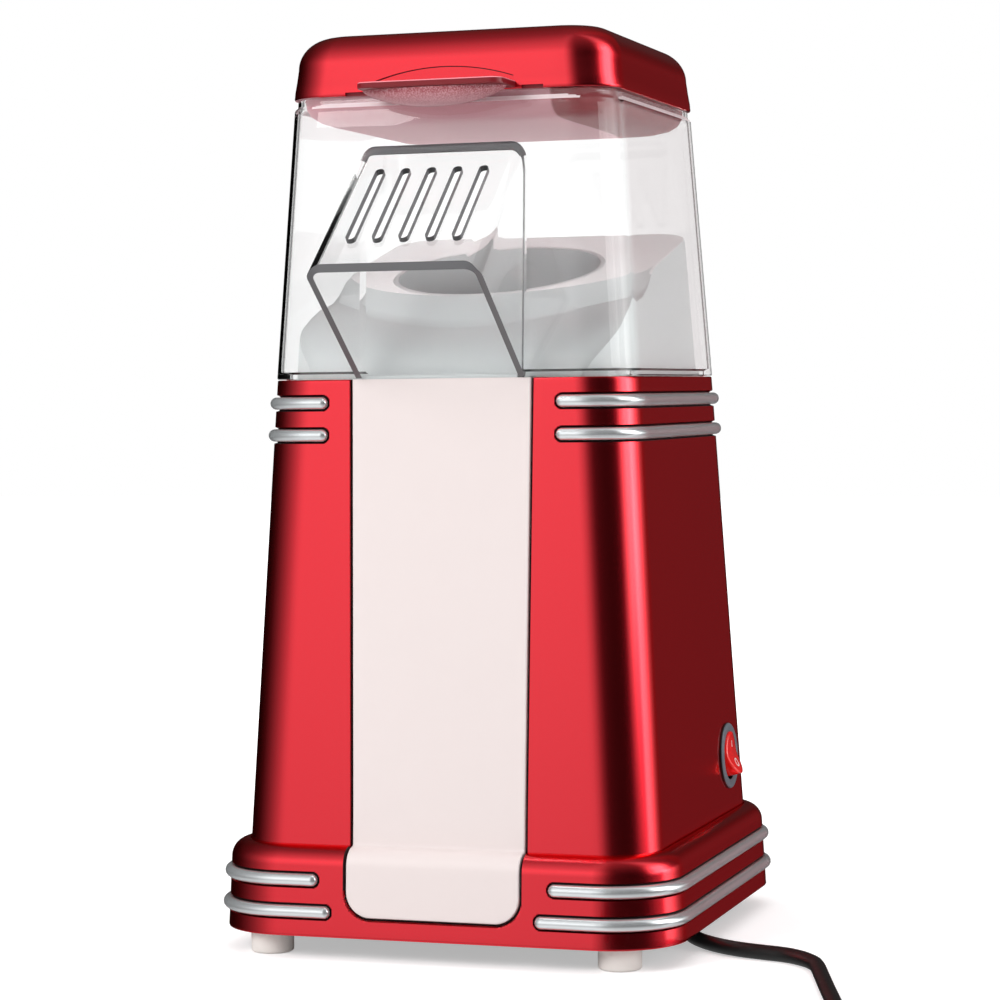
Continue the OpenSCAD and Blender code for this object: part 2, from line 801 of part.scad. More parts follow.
module motor_shaft() {
    color("silver") on_axis() translate([0, 0, shaft_low]) cylinder(r = shaft_r, h = shaft_top - shaft_low);
}

module fan_impeller() {
    color("ivory") on_axis() difference() {
        union() {
            translate([0, 0, fan_floor]) cylinder(r = fan_r, h = 1.2);
            translate([0, 0, fan_floor]) cylinder(r = hub_r, h = fan_blade_h + 1.6);
            for (k = [0:fan_blades - 1]) rotate(360 * k / fan_blades)
                translate([fan_blade_in, 0, fan_floor]) rotate(fan_lean)
                    cube([fan_r - fan_blade_in - 1.5, fan_blade_thick, 1.2 + fan_blade_h]);
        }
        cylinder(r = shaft_r, h = duct_floor);
    }
}

// ---- Rectifier for the motor, on two posts of the bottom plate ----
board_size = [26, 20, 1.6];
board_mid = [-57, 57];
diode_r = 1.6;
module rectifier_board() {
    color("seagreen") on_axis()
        translate([board_mid[0] - board_size[0] / 2, board_mid[1] - board_size[1] / 2, post_top])
            cube(board_size);
}

module rectifier_diodes() {
    color("black") on_axis() for (k = [0:3])
        translate([board_mid[0] - 7.5 + 5 * k, board_mid[1] - 4, post_top + board_size[2] + diode_r - 0.2])
            difference() {
                rotate([-90, 0, 0]) cylinder(r = diode_r, h = 8);
                translate([-5, -5, -diode_r - 1]) cube([10, 20, 1.2]);
            }
}

// ---- Rocker switch on the right face ----
bezel_thick = 2;
bezel_inner_r = 9;
switch_r = 10;
switch_deep = 16;
switch_well = 7;
rocker_half_w = 7.2;
rocker_r = 7.8;
rocker_pin_r = 1.2;
rocker_pin_reach = 9.6;
rocker_axis = -2.2;
rocker_lean = 12;
terminal_x = [-4, 4];

module switch_bezel() {
    color("slategray") on_axis() at_switch() difference() {
        rotate_extrude() {
            translate([bezel_inner_r, 0]) square([bezel_r - bezel_inner_r - 0.8, bezel_thick]);
            translate([bezel_inner_r, 0]) square([bezel_r - bezel_inner_r, bezel_thick - 0.8]);
            translate([bezel_r - 0.8, bezel_thick - 0.8]) circle(0.8);
        }
    }
}

module switch_body() {
    color("dimgray") on_axis() at_switch() difference() {
        translate([0, 0, -switch_deep]) cylinder(r = switch_r, h = switch_deep);
        translate([0, 0, -switch_well]) cylinder(r = bezel_inner_r, h = switch_well + 1);
        translate([0, 0, rocker_axis]) rotate([90, 0, 0])
            cylinder(r = rocker_pin_r + shaft_gap, h = 3 * switch_r, center = true);
    }
}

module switch_terminals() {
    color("gold") on_axis() at_switch() for (x = terminal_x)
        translate([x - 0.4, -2.4, -switch_deep - 7]) cube([0.8, 4.8, 7]);
}

// The rocker fills the well; its two faces meet in a shallow V over the pin, the lower end is out
module switch_rocker() {
    side = [[0, 4.6], [rocker_r - 0.6, 6.4], [rocker_r, 3], [rocker_r - 1, -2], [3, -3.6]];
    color("red") on_axis() at_switch() translate([0, 0, rocker_axis]) rotate([0, -rocker_lean, 0]) {
        intersection() {
            translate([0, 0, -6]) cylinder(r = rocker_r, h = 14);
            translate([-rocker_r, -rocker_half_w, -6]) cube([2 * rocker_r, 2 * rocker_half_w, 14]);
            rotate([90, 0, 0]) linear_extrude(2 * rocker_r, center = true)
                polygon(concat(side, [for (p = reversed(side)) if (p[0] > 0) [-p[0], p[1]]]));
        }
        rotate([90, 0, 0]) cylinder(r = rocker_pin_r, h = 2 * rocker_pin_reach, center = true);
    }
}

// ---- Leads, strain relief and power cord ----
relief_x = 64;
relief_z = 14.8;
relief_neck_r = 3.4;
relief_tip = [65, 16.5, 5.4];
relief_root = [relief_x, recess_y[1] - 1.5, relief_z];
relief_tip_r = 3.1;
relief_root_r = 4.2;
lead_r = 1.1;
coil_mid = [117.6, -192];
coil_turns_r = [25, 30];
plug_mid = [92.6, -222, 7.5];

function unit(v) = v / norm(v);
// Ring of points round a route's point, square to the route's direction
function hoop(route, i, r, sides) = let (
    ahead = route[min(i + 1, len(route) - 1)], back = route[max(i - 1, 0)],
    along = unit(ahead - back),
    flat = unit(cross(abs(along[2]) > 0.9 ? [0, 1, 0] : [0, 0, 1], along)),
    up = cross(along, flat))
    [for (k = [0:sides - 1]) route[i] + r * (cos(360 * k / sides) * flat + sin(360 * k / sides) * up)];

module tube(route, r, sides) {
    loft([for (i = [0:len(route) - 1]) hoop(route, i, r, sides)]);
}

// From the strain relief under the base, out on the right and forwards to the coil
cord_route = [relief_tip, [65.2, 11.8, 3.8], [65.7, 4.5, 2.7], [67, -4, 2.5], [69.5, -13, 2.5],
    [73, -20.5, 2.5], [78, -27.6, 2.5], [85, -34, 2.5], [93, -38.8, 2.5], [101, -41.7, 2.5],
    [109.5, -44.3, 2.5], [114.5, -47.3, 2.5], [118.8, -51.3, 2.5], [122.1, -56.1, 2.5],
    [124.4, -61.5, 2.5], [129.2, -77.2, 2.5], [134, -93, 2.5], [138.9, -108.8, 2.5],
    [143.7, -124.6, 2.5], [146.6, -137.6, 2.5], [147.6, -150.9, 2.5], [147.6, -163, 2.5],
    [147.6, -175, 2.5], [147.6, -186, 2.5]];
// From the coil's upper outer turn to the plug
tail_route = [[114.6, -222, 7.5], [108.6, -222, 7.5], [100.6, -222, 7.5], [92.6, -222, 7.5]];

function shifted(route) = [for (p = route) p + [0, axis_y, 0]];

module cord_relief() {
    run = relief_tip - relief_root;
    color("black") on_axis() {
        translate([relief_x, recess_y[1] - 1.5, relief_z]) rotate([-90, 0, 0]) {
            cylinder(r = relief_root_r + 0.6, h = 1.5);
            cylinder(r = relief_neck_r, h = 1.5 + recess_wall);
            translate([0, 0, 1.5 + recess_wall]) cylinder(r = relief_root_r, h = 3);
        }
        translate(relief_root) rotate([0, acos(run[2] / norm(run)), atan2(run[1], run[0])])
            cylinder(r1 = relief_root_r, r2 = relief_tip_r, h = norm(run));
    }
}

module power_cord() {
    color("black") {
        tube(shifted(cord_route), cord_d / 2, 10);
        tube(shifted(tail_route), cord_d / 2, 10);
    }
}

module cord_coil() {
    color("black") on_axis() translate([coil_mid[0], coil_mid[1], 0]) rotate_extrude()
        translate([coil_turns_r[0] - cord_d / 2, 0])
            square([coil_turns_r[1] - coil_turns_r[0] + cord_d, 2 * cord_d]);
}

// Flat two-pin plug lying beside the coil
plug_long = 30;
plug_wide = 22;
plug_high = 15;
plug_neck = 12;
pin_pitch = 12.7;
pin_size = [16, 1.6, 6.3];

module plug_body() {
    color("black") on_axis() translate(plug_mid) rotate([0, 0, 180]) {
        rotate([0, 90, 0]) cylinder(r1 = 3.4, r2 = 5.5, h = plug_neck);
        translate([plug_neck, -plug_wide / 2, -plug_high / 2]) intersection() {
            cube([plug_long - plug_neck, plug_wide, plug_high]);
            translate([0, plug_wide / 2, plug_high / 2]) rotate([0, 90, 0])
                cylinder(r = 12.2, h = plug_long);
        }
    }
}

module plug_pins() {
    color("silver") on_axis() translate(plug_mid) rotate([0, 0, 180]) for (side = [-1, 1])
        translate([plug_long, side * pin_pitch / 2 - pin_size[1] / 2, -pin_size[2] / 2]) cube(pin_size);
}

module switch_leads() {
    gland = [relief_x, recess_y[1] + recess_wall + 3, relief_z];
    color("sienna") for (side = [-1, 1])
        tube(shifted([[47, switch_y + 4 * side, 52], [45, switch_y + 4 * side, 47],
            [46, switch_y + 3 * side, 40], [50, 42 + 2 * side, 33], [54, 48 + 2 * side, 27],
            [58, 55 + 2 * side, 22], [61, 58 + side, 17], gland + [side * 1.6, 3.4, 1],
            gland + [side * 1.6, 0, 0]]), lead_r, 8);
}

base_housing();
bottom_plate();
feet();
base_screws();
body_shell();
front_panel();
base_trim_lower();
base_trim_upper();
body_trim_lower();
body_trim_upper();
clear_cover();
chute_hood();
top_cap();
tab_grip();
popcorn_guide();
mouth_collar();
guide_screws();
popping_drum();
drum_gasket();
drum_sleeve();
heater_former();
heater_coil();
thermostat();
thermal_fuse();
fan_housing();
housing_screws();
motor_bracket();
motor_can();
motor_screws();
motor_shaft();
fan_impeller();
rectifier_board();
rectifier_diodes();
switch_bezel();
switch_body();
switch_terminals();
switch_rocker();
switch_leads();
cord_relief();
power_cord();
cord_coil();
plug_body();
plug_pins();
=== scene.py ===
import math

import bpy
import numpy as np
from mathutils import Matrix, Vector


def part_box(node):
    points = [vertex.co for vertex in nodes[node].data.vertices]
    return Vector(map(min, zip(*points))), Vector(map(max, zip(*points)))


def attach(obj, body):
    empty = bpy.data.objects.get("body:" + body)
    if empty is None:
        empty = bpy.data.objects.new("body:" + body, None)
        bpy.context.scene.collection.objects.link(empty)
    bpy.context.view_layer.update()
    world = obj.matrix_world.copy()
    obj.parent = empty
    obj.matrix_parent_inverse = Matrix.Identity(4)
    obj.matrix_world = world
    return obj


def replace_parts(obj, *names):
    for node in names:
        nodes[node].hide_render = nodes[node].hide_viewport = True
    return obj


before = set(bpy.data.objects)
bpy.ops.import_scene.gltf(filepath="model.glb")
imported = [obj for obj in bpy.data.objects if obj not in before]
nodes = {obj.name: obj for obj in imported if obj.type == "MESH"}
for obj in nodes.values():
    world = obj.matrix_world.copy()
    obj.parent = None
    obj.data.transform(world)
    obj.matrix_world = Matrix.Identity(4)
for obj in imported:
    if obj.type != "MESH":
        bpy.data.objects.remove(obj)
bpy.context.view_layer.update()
mm = 0.001

# ---- Camera ----
# A long lens stands well in front and a little to the right, about half way up the body.
shaft_low, shaft_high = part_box("motor_shaft")
axis_y = (shaft_low.y + shaft_high.y) / 2
turn, dip, roll = (math.radians(a) for a in (18.22, 2.10, -0.65))
back = Vector((math.sin(turn) * math.cos(dip), -math.cos(turn) * math.cos(dip), math.sin(dip)))
level = Vector((math.cos(turn), math.sin(turn), 0))
upright = back.cross(level)
camera_right = math.cos(roll) * level + math.sin(roll) * upright
camera_up = math.cos(roll) * upright - math.sin(roll) * level
scene = bpy.context.scene


def put(name, data):
    """Makes an object and puts it into the scene."""
    made = bpy.data.objects.new(name, data)
    scene.collection.objects.link(made)
    return made


camera = put("camera", bpy.data.cameras.new("camera"))
camera.data.sensor_width = 36
camera.data.lens = 106.1
camera.data.clip_start = 0.05
camera.matrix_world = Matrix.Translation((0.3220, axis_y - 0.9808, 0.1871)) @ Matrix(
    (camera_right, camera_up, back)).transposed().to_4x4()
scene.camera = camera
scene.view_settings.view_transform = "Standard"


# ---- Studio ----
# A white sweep, one big soft box in front on the left, two narrow ones on the right, and black
# flags between them, which draw the dark bands on lacquer and metal.
def linear(code):
    """Turns an sRGB hex colour to the linear values that a shader takes."""
    parts = [int(code[i:i + 2], 16) / 255 for i in (1, 3, 5)]
    return (*((p / 12.92 if p <= 0.04045 else ((p + 0.055) / 1.055) ** 2.4) for p in parts), 1)


def add(tree, kind, inputs, stops=(), **settings):
    """Adds one node. Inputs are given by name or number, as a value or as the output to link. A colour
    ramp's stops are pairs of a place from 0 to 1 and a grey level."""
    made = tree.nodes.new(kind)
    for name, value in settings.items():
        setattr(made, name, value)
    for name, value in inputs.items():
        if isinstance(value, bpy.types.NodeSocket):
            tree.links.new(value, made.inputs[name])
        else:
            made.inputs[name].default_value = value
    if stops:
        for place, _ in stops[1:-1]:
            made.color_ramp.elements.new(place)
        for stop, (place, level) in zip(made.color_ramp.elements, stops):
            stop.position, stop.color = place, (level, level, level, 1)
    return made


def blank_tree(owner):
    """Gives a material or a world an empty node tree."""
    owner.use_nodes = True
    owner.node_tree.nodes.clear()
    return owner.node_tree


scene.world = bpy.data.worlds.new("studio")
air = blank_tree(scene.world)
ray = add(air, "ShaderNodeLightPath", {})
way = add(air, "ShaderNodeSeparateXYZ", {0: add(air, "ShaderNodeTexCoord", {}).outputs["Generated"]})
front = add(air, "ShaderNodeMath", {0: way.outputs["Y"], 1: -1.0}, operation="MULTIPLY")
bearing = add(air, "ShaderNodeMath", {0: way.outputs["X"], 1: front.outputs[0]}, operation="ARCTAN2")
bearing = add(air, "ShaderNodeMath", {0: bearing.outputs[0], 1: 1 / math.tau, 2: 0.5},
              operation="MULTIPLY_ADD")
lift = add(air, "ShaderNodeMath", {0: way.outputs["Z"], 1: 0.5, 2: 0.5}, operation="MULTIPLY_ADD")
# Levels by the angle from straight in front, positive to the right, and by height, for the front
# box, for the two right ones, for a dark red card behind them, and for the ceiling and the ground
front_box = [(-180, 0.01), (-130, 0.0), (-112, 0.003), (-94, 0.01), (-76, 0.035), (-58, 0.08),
             (-40, 0.15), (-24, 0.25), (-17, 0.26), (-6, 0.14), (4, 0.05), (14, 0.01), (40, 0.005),
             (172, 0.005), (180, 0.01)]
front_rise = [(-90, 0.3), (-20, 0.35), (-9, 0.5), (0, 0.82), (8, 1), (20, 1), (35, 0.66), (60, 0.4),
              (84, 0.2), (90, 0.18)]
right_box = [(-180, 0), (70, 0), (81, 0.3), (90, 0.8), (104, 0.8), (113, 0.35), (122, 0), (180, 0)]
right_rise = [(-90, 0.0), (-9, 0.02), (-1, 0.03), (1.2, 0.2), (3, 0.8), (6, 1), (30, 1), (45, 0.3),
              (90, 0.1)]
edge_box = [(-180, 0), (98, 0), (106, 0.6), (116, 0.5), (124, 0.26), (138, 0.07), (150, 0.005),
            (172, 0.003), (180, 0)]
edge_rise = [(-90, 0.0), (-16, 0.2), (-8, 0.7), (0, 1), (7, 1), (12, 0.15), (40, 0.05), (90, 0.0)]
red_card = [(-180, 0), (136, 0), (150, 0.028), (164, 0.028), (173, 0.004), (180, 0)]
card_red = (1.0, 0.12, 0.18)
around = [(-90, 0.12), (-35, 0.08), (-16, 0.01), (-8, 0.0), (14, 0.0), (35, 0.01), (60, 0.03), (90, 0.05)]
box_strength, room_strength, backdrop_boost = 5.0, 0.55, 0.08


def turned_level(levels):
    """Levels by bearing, in degrees."""
    return add(air, "ShaderNodeValToRGB", {"Fac": bearing.outputs[0]},
               stops=[(a / 360 + 0.5, b) for a, b in levels]).outputs["Color"]


def raised_level(levels):
    """Levels by height over the horizon, in degrees."""
    return add(air, "ShaderNodeValToRGB", {"Fac": lift.outputs[0]},
               stops=[(math.sin(math.radians(a)) / 2 + 0.5, b) for a, b in levels]).outputs["Color"]


mirrored = add(air, "ShaderNodeVectorMath", {0: turned_level(front_box), 1: raised_level(front_rise)},
               operation="MULTIPLY")
for levels, rise in ((right_box, raised_level(right_rise)), (edge_box, raised_level(edge_rise)),
                     (red_card, card_red)):
    mirrored = add(air, "ShaderNodeVectorMath", {0: turned_level(levels), 1: rise, 2: mirrored.outputs[0]},
                   operation="MULTIPLY_ADD")
mirrored = add(air, "ShaderNodeVectorMath", {0: mirrored.outputs[0], 1: raised_level(around)},
               operation="ADD")
mirrored = add(air, "ShaderNodeBackground", {"Color": mirrored.outputs[0], "Strength": box_strength})
soft = add(air, "ShaderNodeBackground", {"Color": (1, 1, 1, 1), "Strength": room_strength})
# The backdrop behind the clear cover is lit up a little more, for what the cover's walls take away
through = add(air, "ShaderNodeMath", {0: ray.outputs["Is Transmission Ray"], 1: backdrop_boost, 2: 1.0},
              operation="MULTIPLY_ADD")
white = add(air, "ShaderNodeBackground", {"Color": (1, 1, 1, 1), "Strength": through.outputs[0]})
glossy = add(air, "ShaderNodeMixShader",
             {0: ray.outputs["Is Glossy Ray"], 1: soft.outputs[0], 2: mirrored.outputs[0]})
seen = add(air, "ShaderNodeMath", {0: ray.outputs["Is Camera Ray"], 1: ray.outputs["Is Transmission Ray"]},
           operation="MAXIMUM")
# Light that has already left a matt surface under the cover is room light, not the white backdrop
direct = add(air, "ShaderNodeMath", {0: ray.outputs["Diffuse Depth"], 1: 0.5}, operation="LESS_THAN")
seen = add(air, "ShaderNodeMath", {0: seen.outputs[0], 1: direct.outputs[0]}, operation="MULTIPLY")
lit = add(air, "ShaderNodeMixShader", {0: seen.outputs[0], 1: glossy.outputs[0], 2: white.outputs[0]})
add(air, "ShaderNodeOutputWorld", {"Surface": lit.outputs[0]})


def lamp(name, place, aim, size, power):
    """Adds a square soft box at a place, turned to a point."""
    made = put(name, bpy.data.lights.new(name, "AREA"))
    made.data.size, made.data.energy = size, power
    made.location = place
    made.rotation_euler = (Vector(aim) - Vector(place)).to_track_quat("-Z", "Y").to_euler()
    made.visible_glossy = False


middle = (0, axis_y, 0.15)
lamp("soft_box", (-0.9, -1.3, 1.1), middle, 0.9, 19)
lamp("overhead", (0.1, 0.1, 1.6), middle, 1.2, 9)
lamp("side_box", (1.5, -0.2, 0.5), middle, 0.7, 5)

floor_mesh = bpy.data.meshes.new("floor")
sweep = 4
floor_mesh.from_pydata([(-sweep, -sweep, 0), (sweep, -sweep, 0), (sweep, sweep, 0), (-sweep, sweep, 0)],
                       [], [(0, 1, 2, 3)])
floor = put("floor", floor_mesh)
sweep_paper = bpy.data.materials.new("white_sweep")
paper = blank_tree(sweep_paper)
glance = add(paper, "ShaderNodeLightPath", {})
matt = add(paper, "ShaderNodeBsdfDiffuse", {"Color": (0.8, 0.8, 0.8, 1)})
# The sweep's own light grows away from the object, where the lamps don't reach
far_off = add(paper, "ShaderNodeVectorMath", {0: add(paper, "ShaderNodeTexCoord", {}).outputs["Object"]},
              operation="LENGTH")
glow_level = add(paper, "ShaderNodeMapRange",
                 {0: far_off.outputs["Value"], 1: 0.2, 2: 0.9, 3: 0.42, 4: 1.0})
glow = add(paper, "ShaderNodeEmission", {"Color": (1, 1, 1, 1), "Strength": glow_level.outputs[0]})
both = add(paper, "ShaderNodeAddShader", {0: matt.outputs[0], 1: glow.outputs[0]})
looked_at = add(paper, "ShaderNodeMath",
                {0: glance.outputs["Is Camera Ray"], 1: glance.outputs["Is Transmission Ray"]},
                operation="MAXIMUM")
paper_out = add(paper, "ShaderNodeMixShader",
                {0: looked_at.outputs[0], 1: matt.outputs[0], 2: both.outputs[0]})
add(paper, "ShaderNodeOutputMaterial", {"Surface": paper_out.outputs[0]})
floor_mesh.materials.append(sweep_paper)
floor.visible_glossy = False


# ---- Power cord ----
# A black round mains lead of PVC, 5 mm thick. It leaves the strain relief under the base, runs
# out on the right and forwards, and the rest of it is wound into a small coil.
def new_piece(mesh, material, body):
    """Puts a mesh into the scene as a piece of the object, with its name, its finish and its body."""
    made = put(mesh.name, mesh)
    mesh.materials.append(material)
    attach(made, body)
    return made


def finish(name, code, roughness, **values):
    """Starts a material named for what it is, from an sRGB colour, a roughness and the shader's other
    inputs, and gives it with its tree, its shader and its own coordinates."""
    made = bpy.data.materials.new(name)
    tree = blank_tree(made)
    shader = add(tree, "ShaderNodeBsdfPrincipled", {"Base Color": linear(code), "Roughness": roughness,
                                                    **{k.replace("_", " "): v for k, v in values.items()}})
    add(tree, "ShaderNodeOutputMaterial", {"Surface": shader.outputs[0]})
    return made, tree, shader, add(tree, "ShaderNodeTexCoord", {}).outputs["Object"]


def grain(tree, shader, place, size, depth, span):
    """Gives a surface bumps a given size apart and a given depth, both in mm, over which its roughness
    wanders between two ends."""
    noise = add(tree, "ShaderNodeTexNoise", {"Vector": place, "Scale": 1 / (size * mm)})
    bump = add(tree, "ShaderNodeBump",
               {"Strength": 1.0, "Distance": depth * mm, "Height": noise.outputs[0]})
    wander = add(tree, "ShaderNodeMapRange", {0: noise.outputs[0], 3: span[0], 4: span[1]})
    tree.links.new(bump.outputs[0], shader.inputs["Normal"])
    tree.links.new(wander.outputs[0], shader.inputs["Roughness"])
    return noise


def grained(name, code, roughness, size, depth, span, **values):
    """A finish in one colour with a grain."""
    made, tree, shader, place = finish(name, code, roughness, **values)
    grain(tree, shader, place, size, depth, span)
    return made


def smooth_route(points, steps):
    """Carries a smooth curve through all points: between two of them it is the cubic whose slope at
    each is half the step from the point before to the point after."""
    p = np.vstack([2 * points[0] - points[1], points, 2 * points[-1] - points[-2]])
    t = (np.arange(steps) / steps)[None, :, None]
    a, b, c, d = (p[k:len(p) - 3 + k, None] for k in range(4))
    curve = (b + t * (c - a) / 2 + t ** 2 * (2 * a - 5 * b + 4 * c - d) / 2
             + t ** 3 * (3 * b - a - 3 * c + d) / 2)
    return np.vstack([curve.reshape(-1, 3), points[-1:]])


cord_d = 5 * mm
cord_route = np.array([
    (65, 16.5, 5.4), (65.2, 11.8, 3.8), (65.7, 4.5, 2.7), (67, -4, 2.5), (69.5, -13, 2.5),
    (73, -20.5, 2.5), (78, -27.6, 2.5), (85, -34, 2.5), (93, -38.8, 2.5), (101, -41.7, 2.5),
    (109.5, -44.3, 2.5), (114.5, -47.3, 2.5), (118.8, -51.3, 2.5), (122.1, -56.1, 2.5),
    (124.4, -61.5, 2.5), (129.2, -77.2, 2.5), (134, -93, 2.5), (138.9, -108.8, 2.5),
    (143.7, -124.6, 2.5), (146.6, -137.6, 2.5), (147.6, -150.9, 2.5), (147.6, -163, 2.5),
    (147.6, -175, 2.5), (147.6, -186, 2.5)])
coil_mid, coil_turns = (117.6, -192), 3.25
# Two turns lie on the floor, the outer one first; the last lies on the first
lap = np.linspace(0, coil_turns, 118)
coil_radius = np.interp(lap, [0, 0.83, 1, 1.83, 2, coil_turns], [30, 30, 25, 25, 30, 30])
coil_height = np.interp(lap, [0, 1.62, 1.82, coil_turns], [2.5, 2.5, 7.5, 7.5])
coil_angle = -math.tau * lap
cord_coil = np.stack([coil_mid[0] + coil_radius * np.cos(coil_angle),
                      coil_mid[1] + coil_radius * np.sin(coil_angle), coil_height], axis=1)
cord_tail = np.array([(108.6, -222, 7.5), (100.6, -222, 7.5), (92.6, -222, 7.5)])
cord_line = smooth_route(np.vstack([cord_route, cord_coil, cord_tail]), 4) * mm + (0, axis_y, 0)

sheath = grained("black_pvc_sheath", "#141414", 0.42, size=1.2, depth=0.02, span=(0.36, 0.5))
cord_curve = bpy.data.curves.new("power_cord_lead", "CURVE")
cord_curve.dimensions = "3D"
cord_curve.bevel_depth = cord_d / 2
cord_curve.bevel_resolution = 5
cord_curve.use_fill_caps = True
cord_spline = cord_curve.splines.new("POLY")
cord_spline.points.add(len(cord_line) - 1)
cord_spline.points.foreach_set("co", np.column_stack([cord_line, np.ones(len(cord_line))]).ravel())
cord_spline.use_smooth = True
lead = new_piece(cord_curve, sheath, "stand")
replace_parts(lead, "power_cord", "cord_coil")


# ---- Strain relief and plug ----
# The sleeve that guards the lead is moulded rubber with a matt skin. The flat plug is moulded onto
# the lead in the same rubber, and its two blades are nickel-plated brass.
def dress(material, *names):
    """Gives CAD nodes that keep their own shape a finish."""
    for name in names:
        for holder in nodes[name].material_slots:
            holder.material = material


rubber = grained("matt_black_rubber", "#1A1A1B", 0.6, size=0.5, depth=0.02, span=(0.52, 0.68), IOR=1.5)
dress(rubber, "cord_relief", "plug_body")
# Worn a little duller where the blades slide in a socket
nickel = grained("nickel_plated_brass", "#CFC9B8", 0.25, size=1.5, depth=0.002, span=(0.18, 0.36),
                 Metallic=1.0)
dress(nickel, "plug_pins")


# ---- Base housing ----
# The stepped foot of the appliance, injection-moulded in ABS and sprayed in candy red. It is one
# shell with a rolled shoulder, two grooves for the chrome strips and a pocket for the front panel.
def plan(half, corner, front, side=(-1, -0.97, -0.85, -0.5, 0, 0.5, 0.85, 0.97, 1), arc=16):
    """A rounded square in each row, anticlockwise from the left end of its front. The front's points
    are given across it, those of the other three sides as shares of their flats, and a corner is a
    quarter circle in equal angles. Gives the points and the directions out of them, seen from above."""
    half, corner = (np.atleast_1d(np.asarray(v, float))[:, None] for v in (half, corner))
    flat = half - corner
    angle = np.linspace(0, math.pi / 2, arc + 1)[1:-1][None]
    points, outwards = [], []
    for turned, (c, s) in enumerate(((1, 0), (0, 1), (-1, 0), (0, -1))):
        across = front + 0 * flat if turned == 0 else flat * np.array(side)
        x = np.hstack([across, flat + corner * np.sin(angle)])
        y = np.hstack([0 * across - half, -flat - corner * np.cos(angle)])
        out_x = np.hstack([0 * across, 0 * flat + np.sin(angle)])
        out_y = np.hstack([0 * across - 1, 0 * flat - np.cos(angle)])
        points.append(np.stack([c * x - s * y, s * x + c * y], 2))
        outwards.append(np.stack([c * out_x - s * out_y, s * out_x + c * out_y], 2))
    return np.concatenate(points, 1), np.concatenate(outwards, 1)


def skin(name, grid, across=True, along=False, ends=False):
    """A mesh over a grid of points in mm, rows x columns x 3, measured from the body's axis. Its
    columns close where across is true, its rows where along is true, and flat ends close the rest."""
    rows, columns = grid.shape[:2]
    at = np.arange(rows * columns).reshape(rows, columns)
    if across:
        at = np.hstack([at, at[:, :1]])
    if along:
        at = np.vstack([at, at[:1]])
    faces = np.stack([at[:-1, :-1], at[:-1, 1:], at[1:, 1:], at[1:, :-1]], 2).reshape(-1, 4).tolist()
    if ends:
        faces += [at[0, columns - 1::-1].tolist(), at[-1, :columns].tolist()]
    return mesh_of(name, grid.reshape(-1, 3), faces)


crease = math.radians(33)


def mesh_of(name, points, faces):
    """A smooth-shaded mesh of points in mm, with sharp edges where faces meet at more than the crease."""
    mesh = bpy.data.meshes.new(name)
    mesh.from_pydata(points * mm + (0, axis_y, 0), [], faces)
    mesh.calc_loop_triangles()
    a, b, c = points[np.array([t.vertices for t in mesh.loop_triangles])].transpose(1, 0, 2)
    # The sum is six times the volume, and is negative where the faces look inwards
    if (a * np.cross(b, c)).sum() < 0:
        mesh.flip_normals()
    mesh.shade_smooth()
    mesh.set_sharp_from_angle(angle=crease)
    return mesh


def facing(mesh):
    """The middle and the direction of each face, in mm as measured from the body's axis."""
    where, way_out = (np.empty(len(mesh.polygons) * 3) for _ in range(2))
    mesh.polygons.foreach_get("center", where)
    mesh.polygons.foreach_get("normal", way_out)
    return (where.reshape(-1, 3) - (0, axis_y, 0)) / mm, way_out.reshape(-1, 3)


def set_finishes(mesh, numbers):
    """Gives each face the finish with its number in the mesh's list."""
    mesh.polygons.foreach_set("material_index", np.asarray(numbers).astype(np.int32))


def ease(x):
    """0 below 0, 1 above 1, and the cubic 3x^2 - 2x^3 between them."""
    x = np.clip(x, 0, 1)
    return x * x * (3 - 2 * x)


def mirrored_marks(marks):
    """Places across a front, from its middle out to the right, repeated to the left."""
    return np.concatenate([-np.array(marks[::-1]), np.array(marks)])


strip_level = (15.8, 26.3, 173.2, 184)
strip_start = (37.55, 42.05, 41.95, 41.95)
strip_r, groove_half, groove_deep, groove_edge = 2.05, 2.75, 1.2, 0.4


def groove_at(spot, k):
    """Depth of strip k's groove: a band round the sides and the back, with a half-round end on
    each side of the front."""
    x, y, z = spot
    short = np.where(y < 0, np.maximum(strip_start[k] - np.abs(x), 0), 0)
    return groove_deep * ease((groove_half - np.hypot(short, z - strip_level[k])) / groove_edge)


panel_deep, panel_gap, pocket_edge = 1.6, 1.0, 0.35
panel_foot, panel_corner = 14.5, 8.5


def panel_edge(z, grow=0):
    """Half of the panel's width at a height: 30 mm over the base, and 31.2 mm at the body's top."""
    return 30 + 1.2 * np.clip((z - 50) / 141.8, 0, 1) + grow


def panel_inside(x, z, grow=0):
    """How far a spot lies inside the panel's outline, whose lower corners are round."""
    r = panel_corner + grow
    over_side, over_end = np.abs(x) - panel_edge(z, grow) + r, panel_foot - grow + r - z
    return r - np.hypot(np.maximum(over_side, 0), np.maximum(over_end, 0)) - np.minimum(
        np.maximum(over_side, over_end), 0)


def pocket_at(spot):
    """Depth of the pocket in which the panel lies, a millimetre larger all round."""
    x, y, z = spot
    return np.where(y < -40, panel_deep * ease(panel_inside(x, z, panel_gap) / pocket_edge), 0)


def housing(name, profile, corner, front, grooves):
    """A moulded shell. Its profile is a closed line of half-width, height and the two parts of the
    direction out of it, carried round a rounded square; grooves and the panel's pocket sink into it
    along that direction."""
    half, z, out, up = (np.array(v)[:, None] for v in zip(*profile))
    flat_points, outwards = plan(half[:, 0], corner, front)
    spot = (flat_points[..., 0], flat_points[..., 1], z + 0 * flat_points[..., 0])
    deep = pocket_at(spot)
    for k in grooves:
        deep = np.maximum(deep, groove_at(spot, k) * (out > 0.5))
    deep = deep * (out + up > 0)
    xy = flat_points - outwards * (deep * out)[..., None]
    return skin(name, np.dstack([xy, spot[2] - deep * up]), along=True)


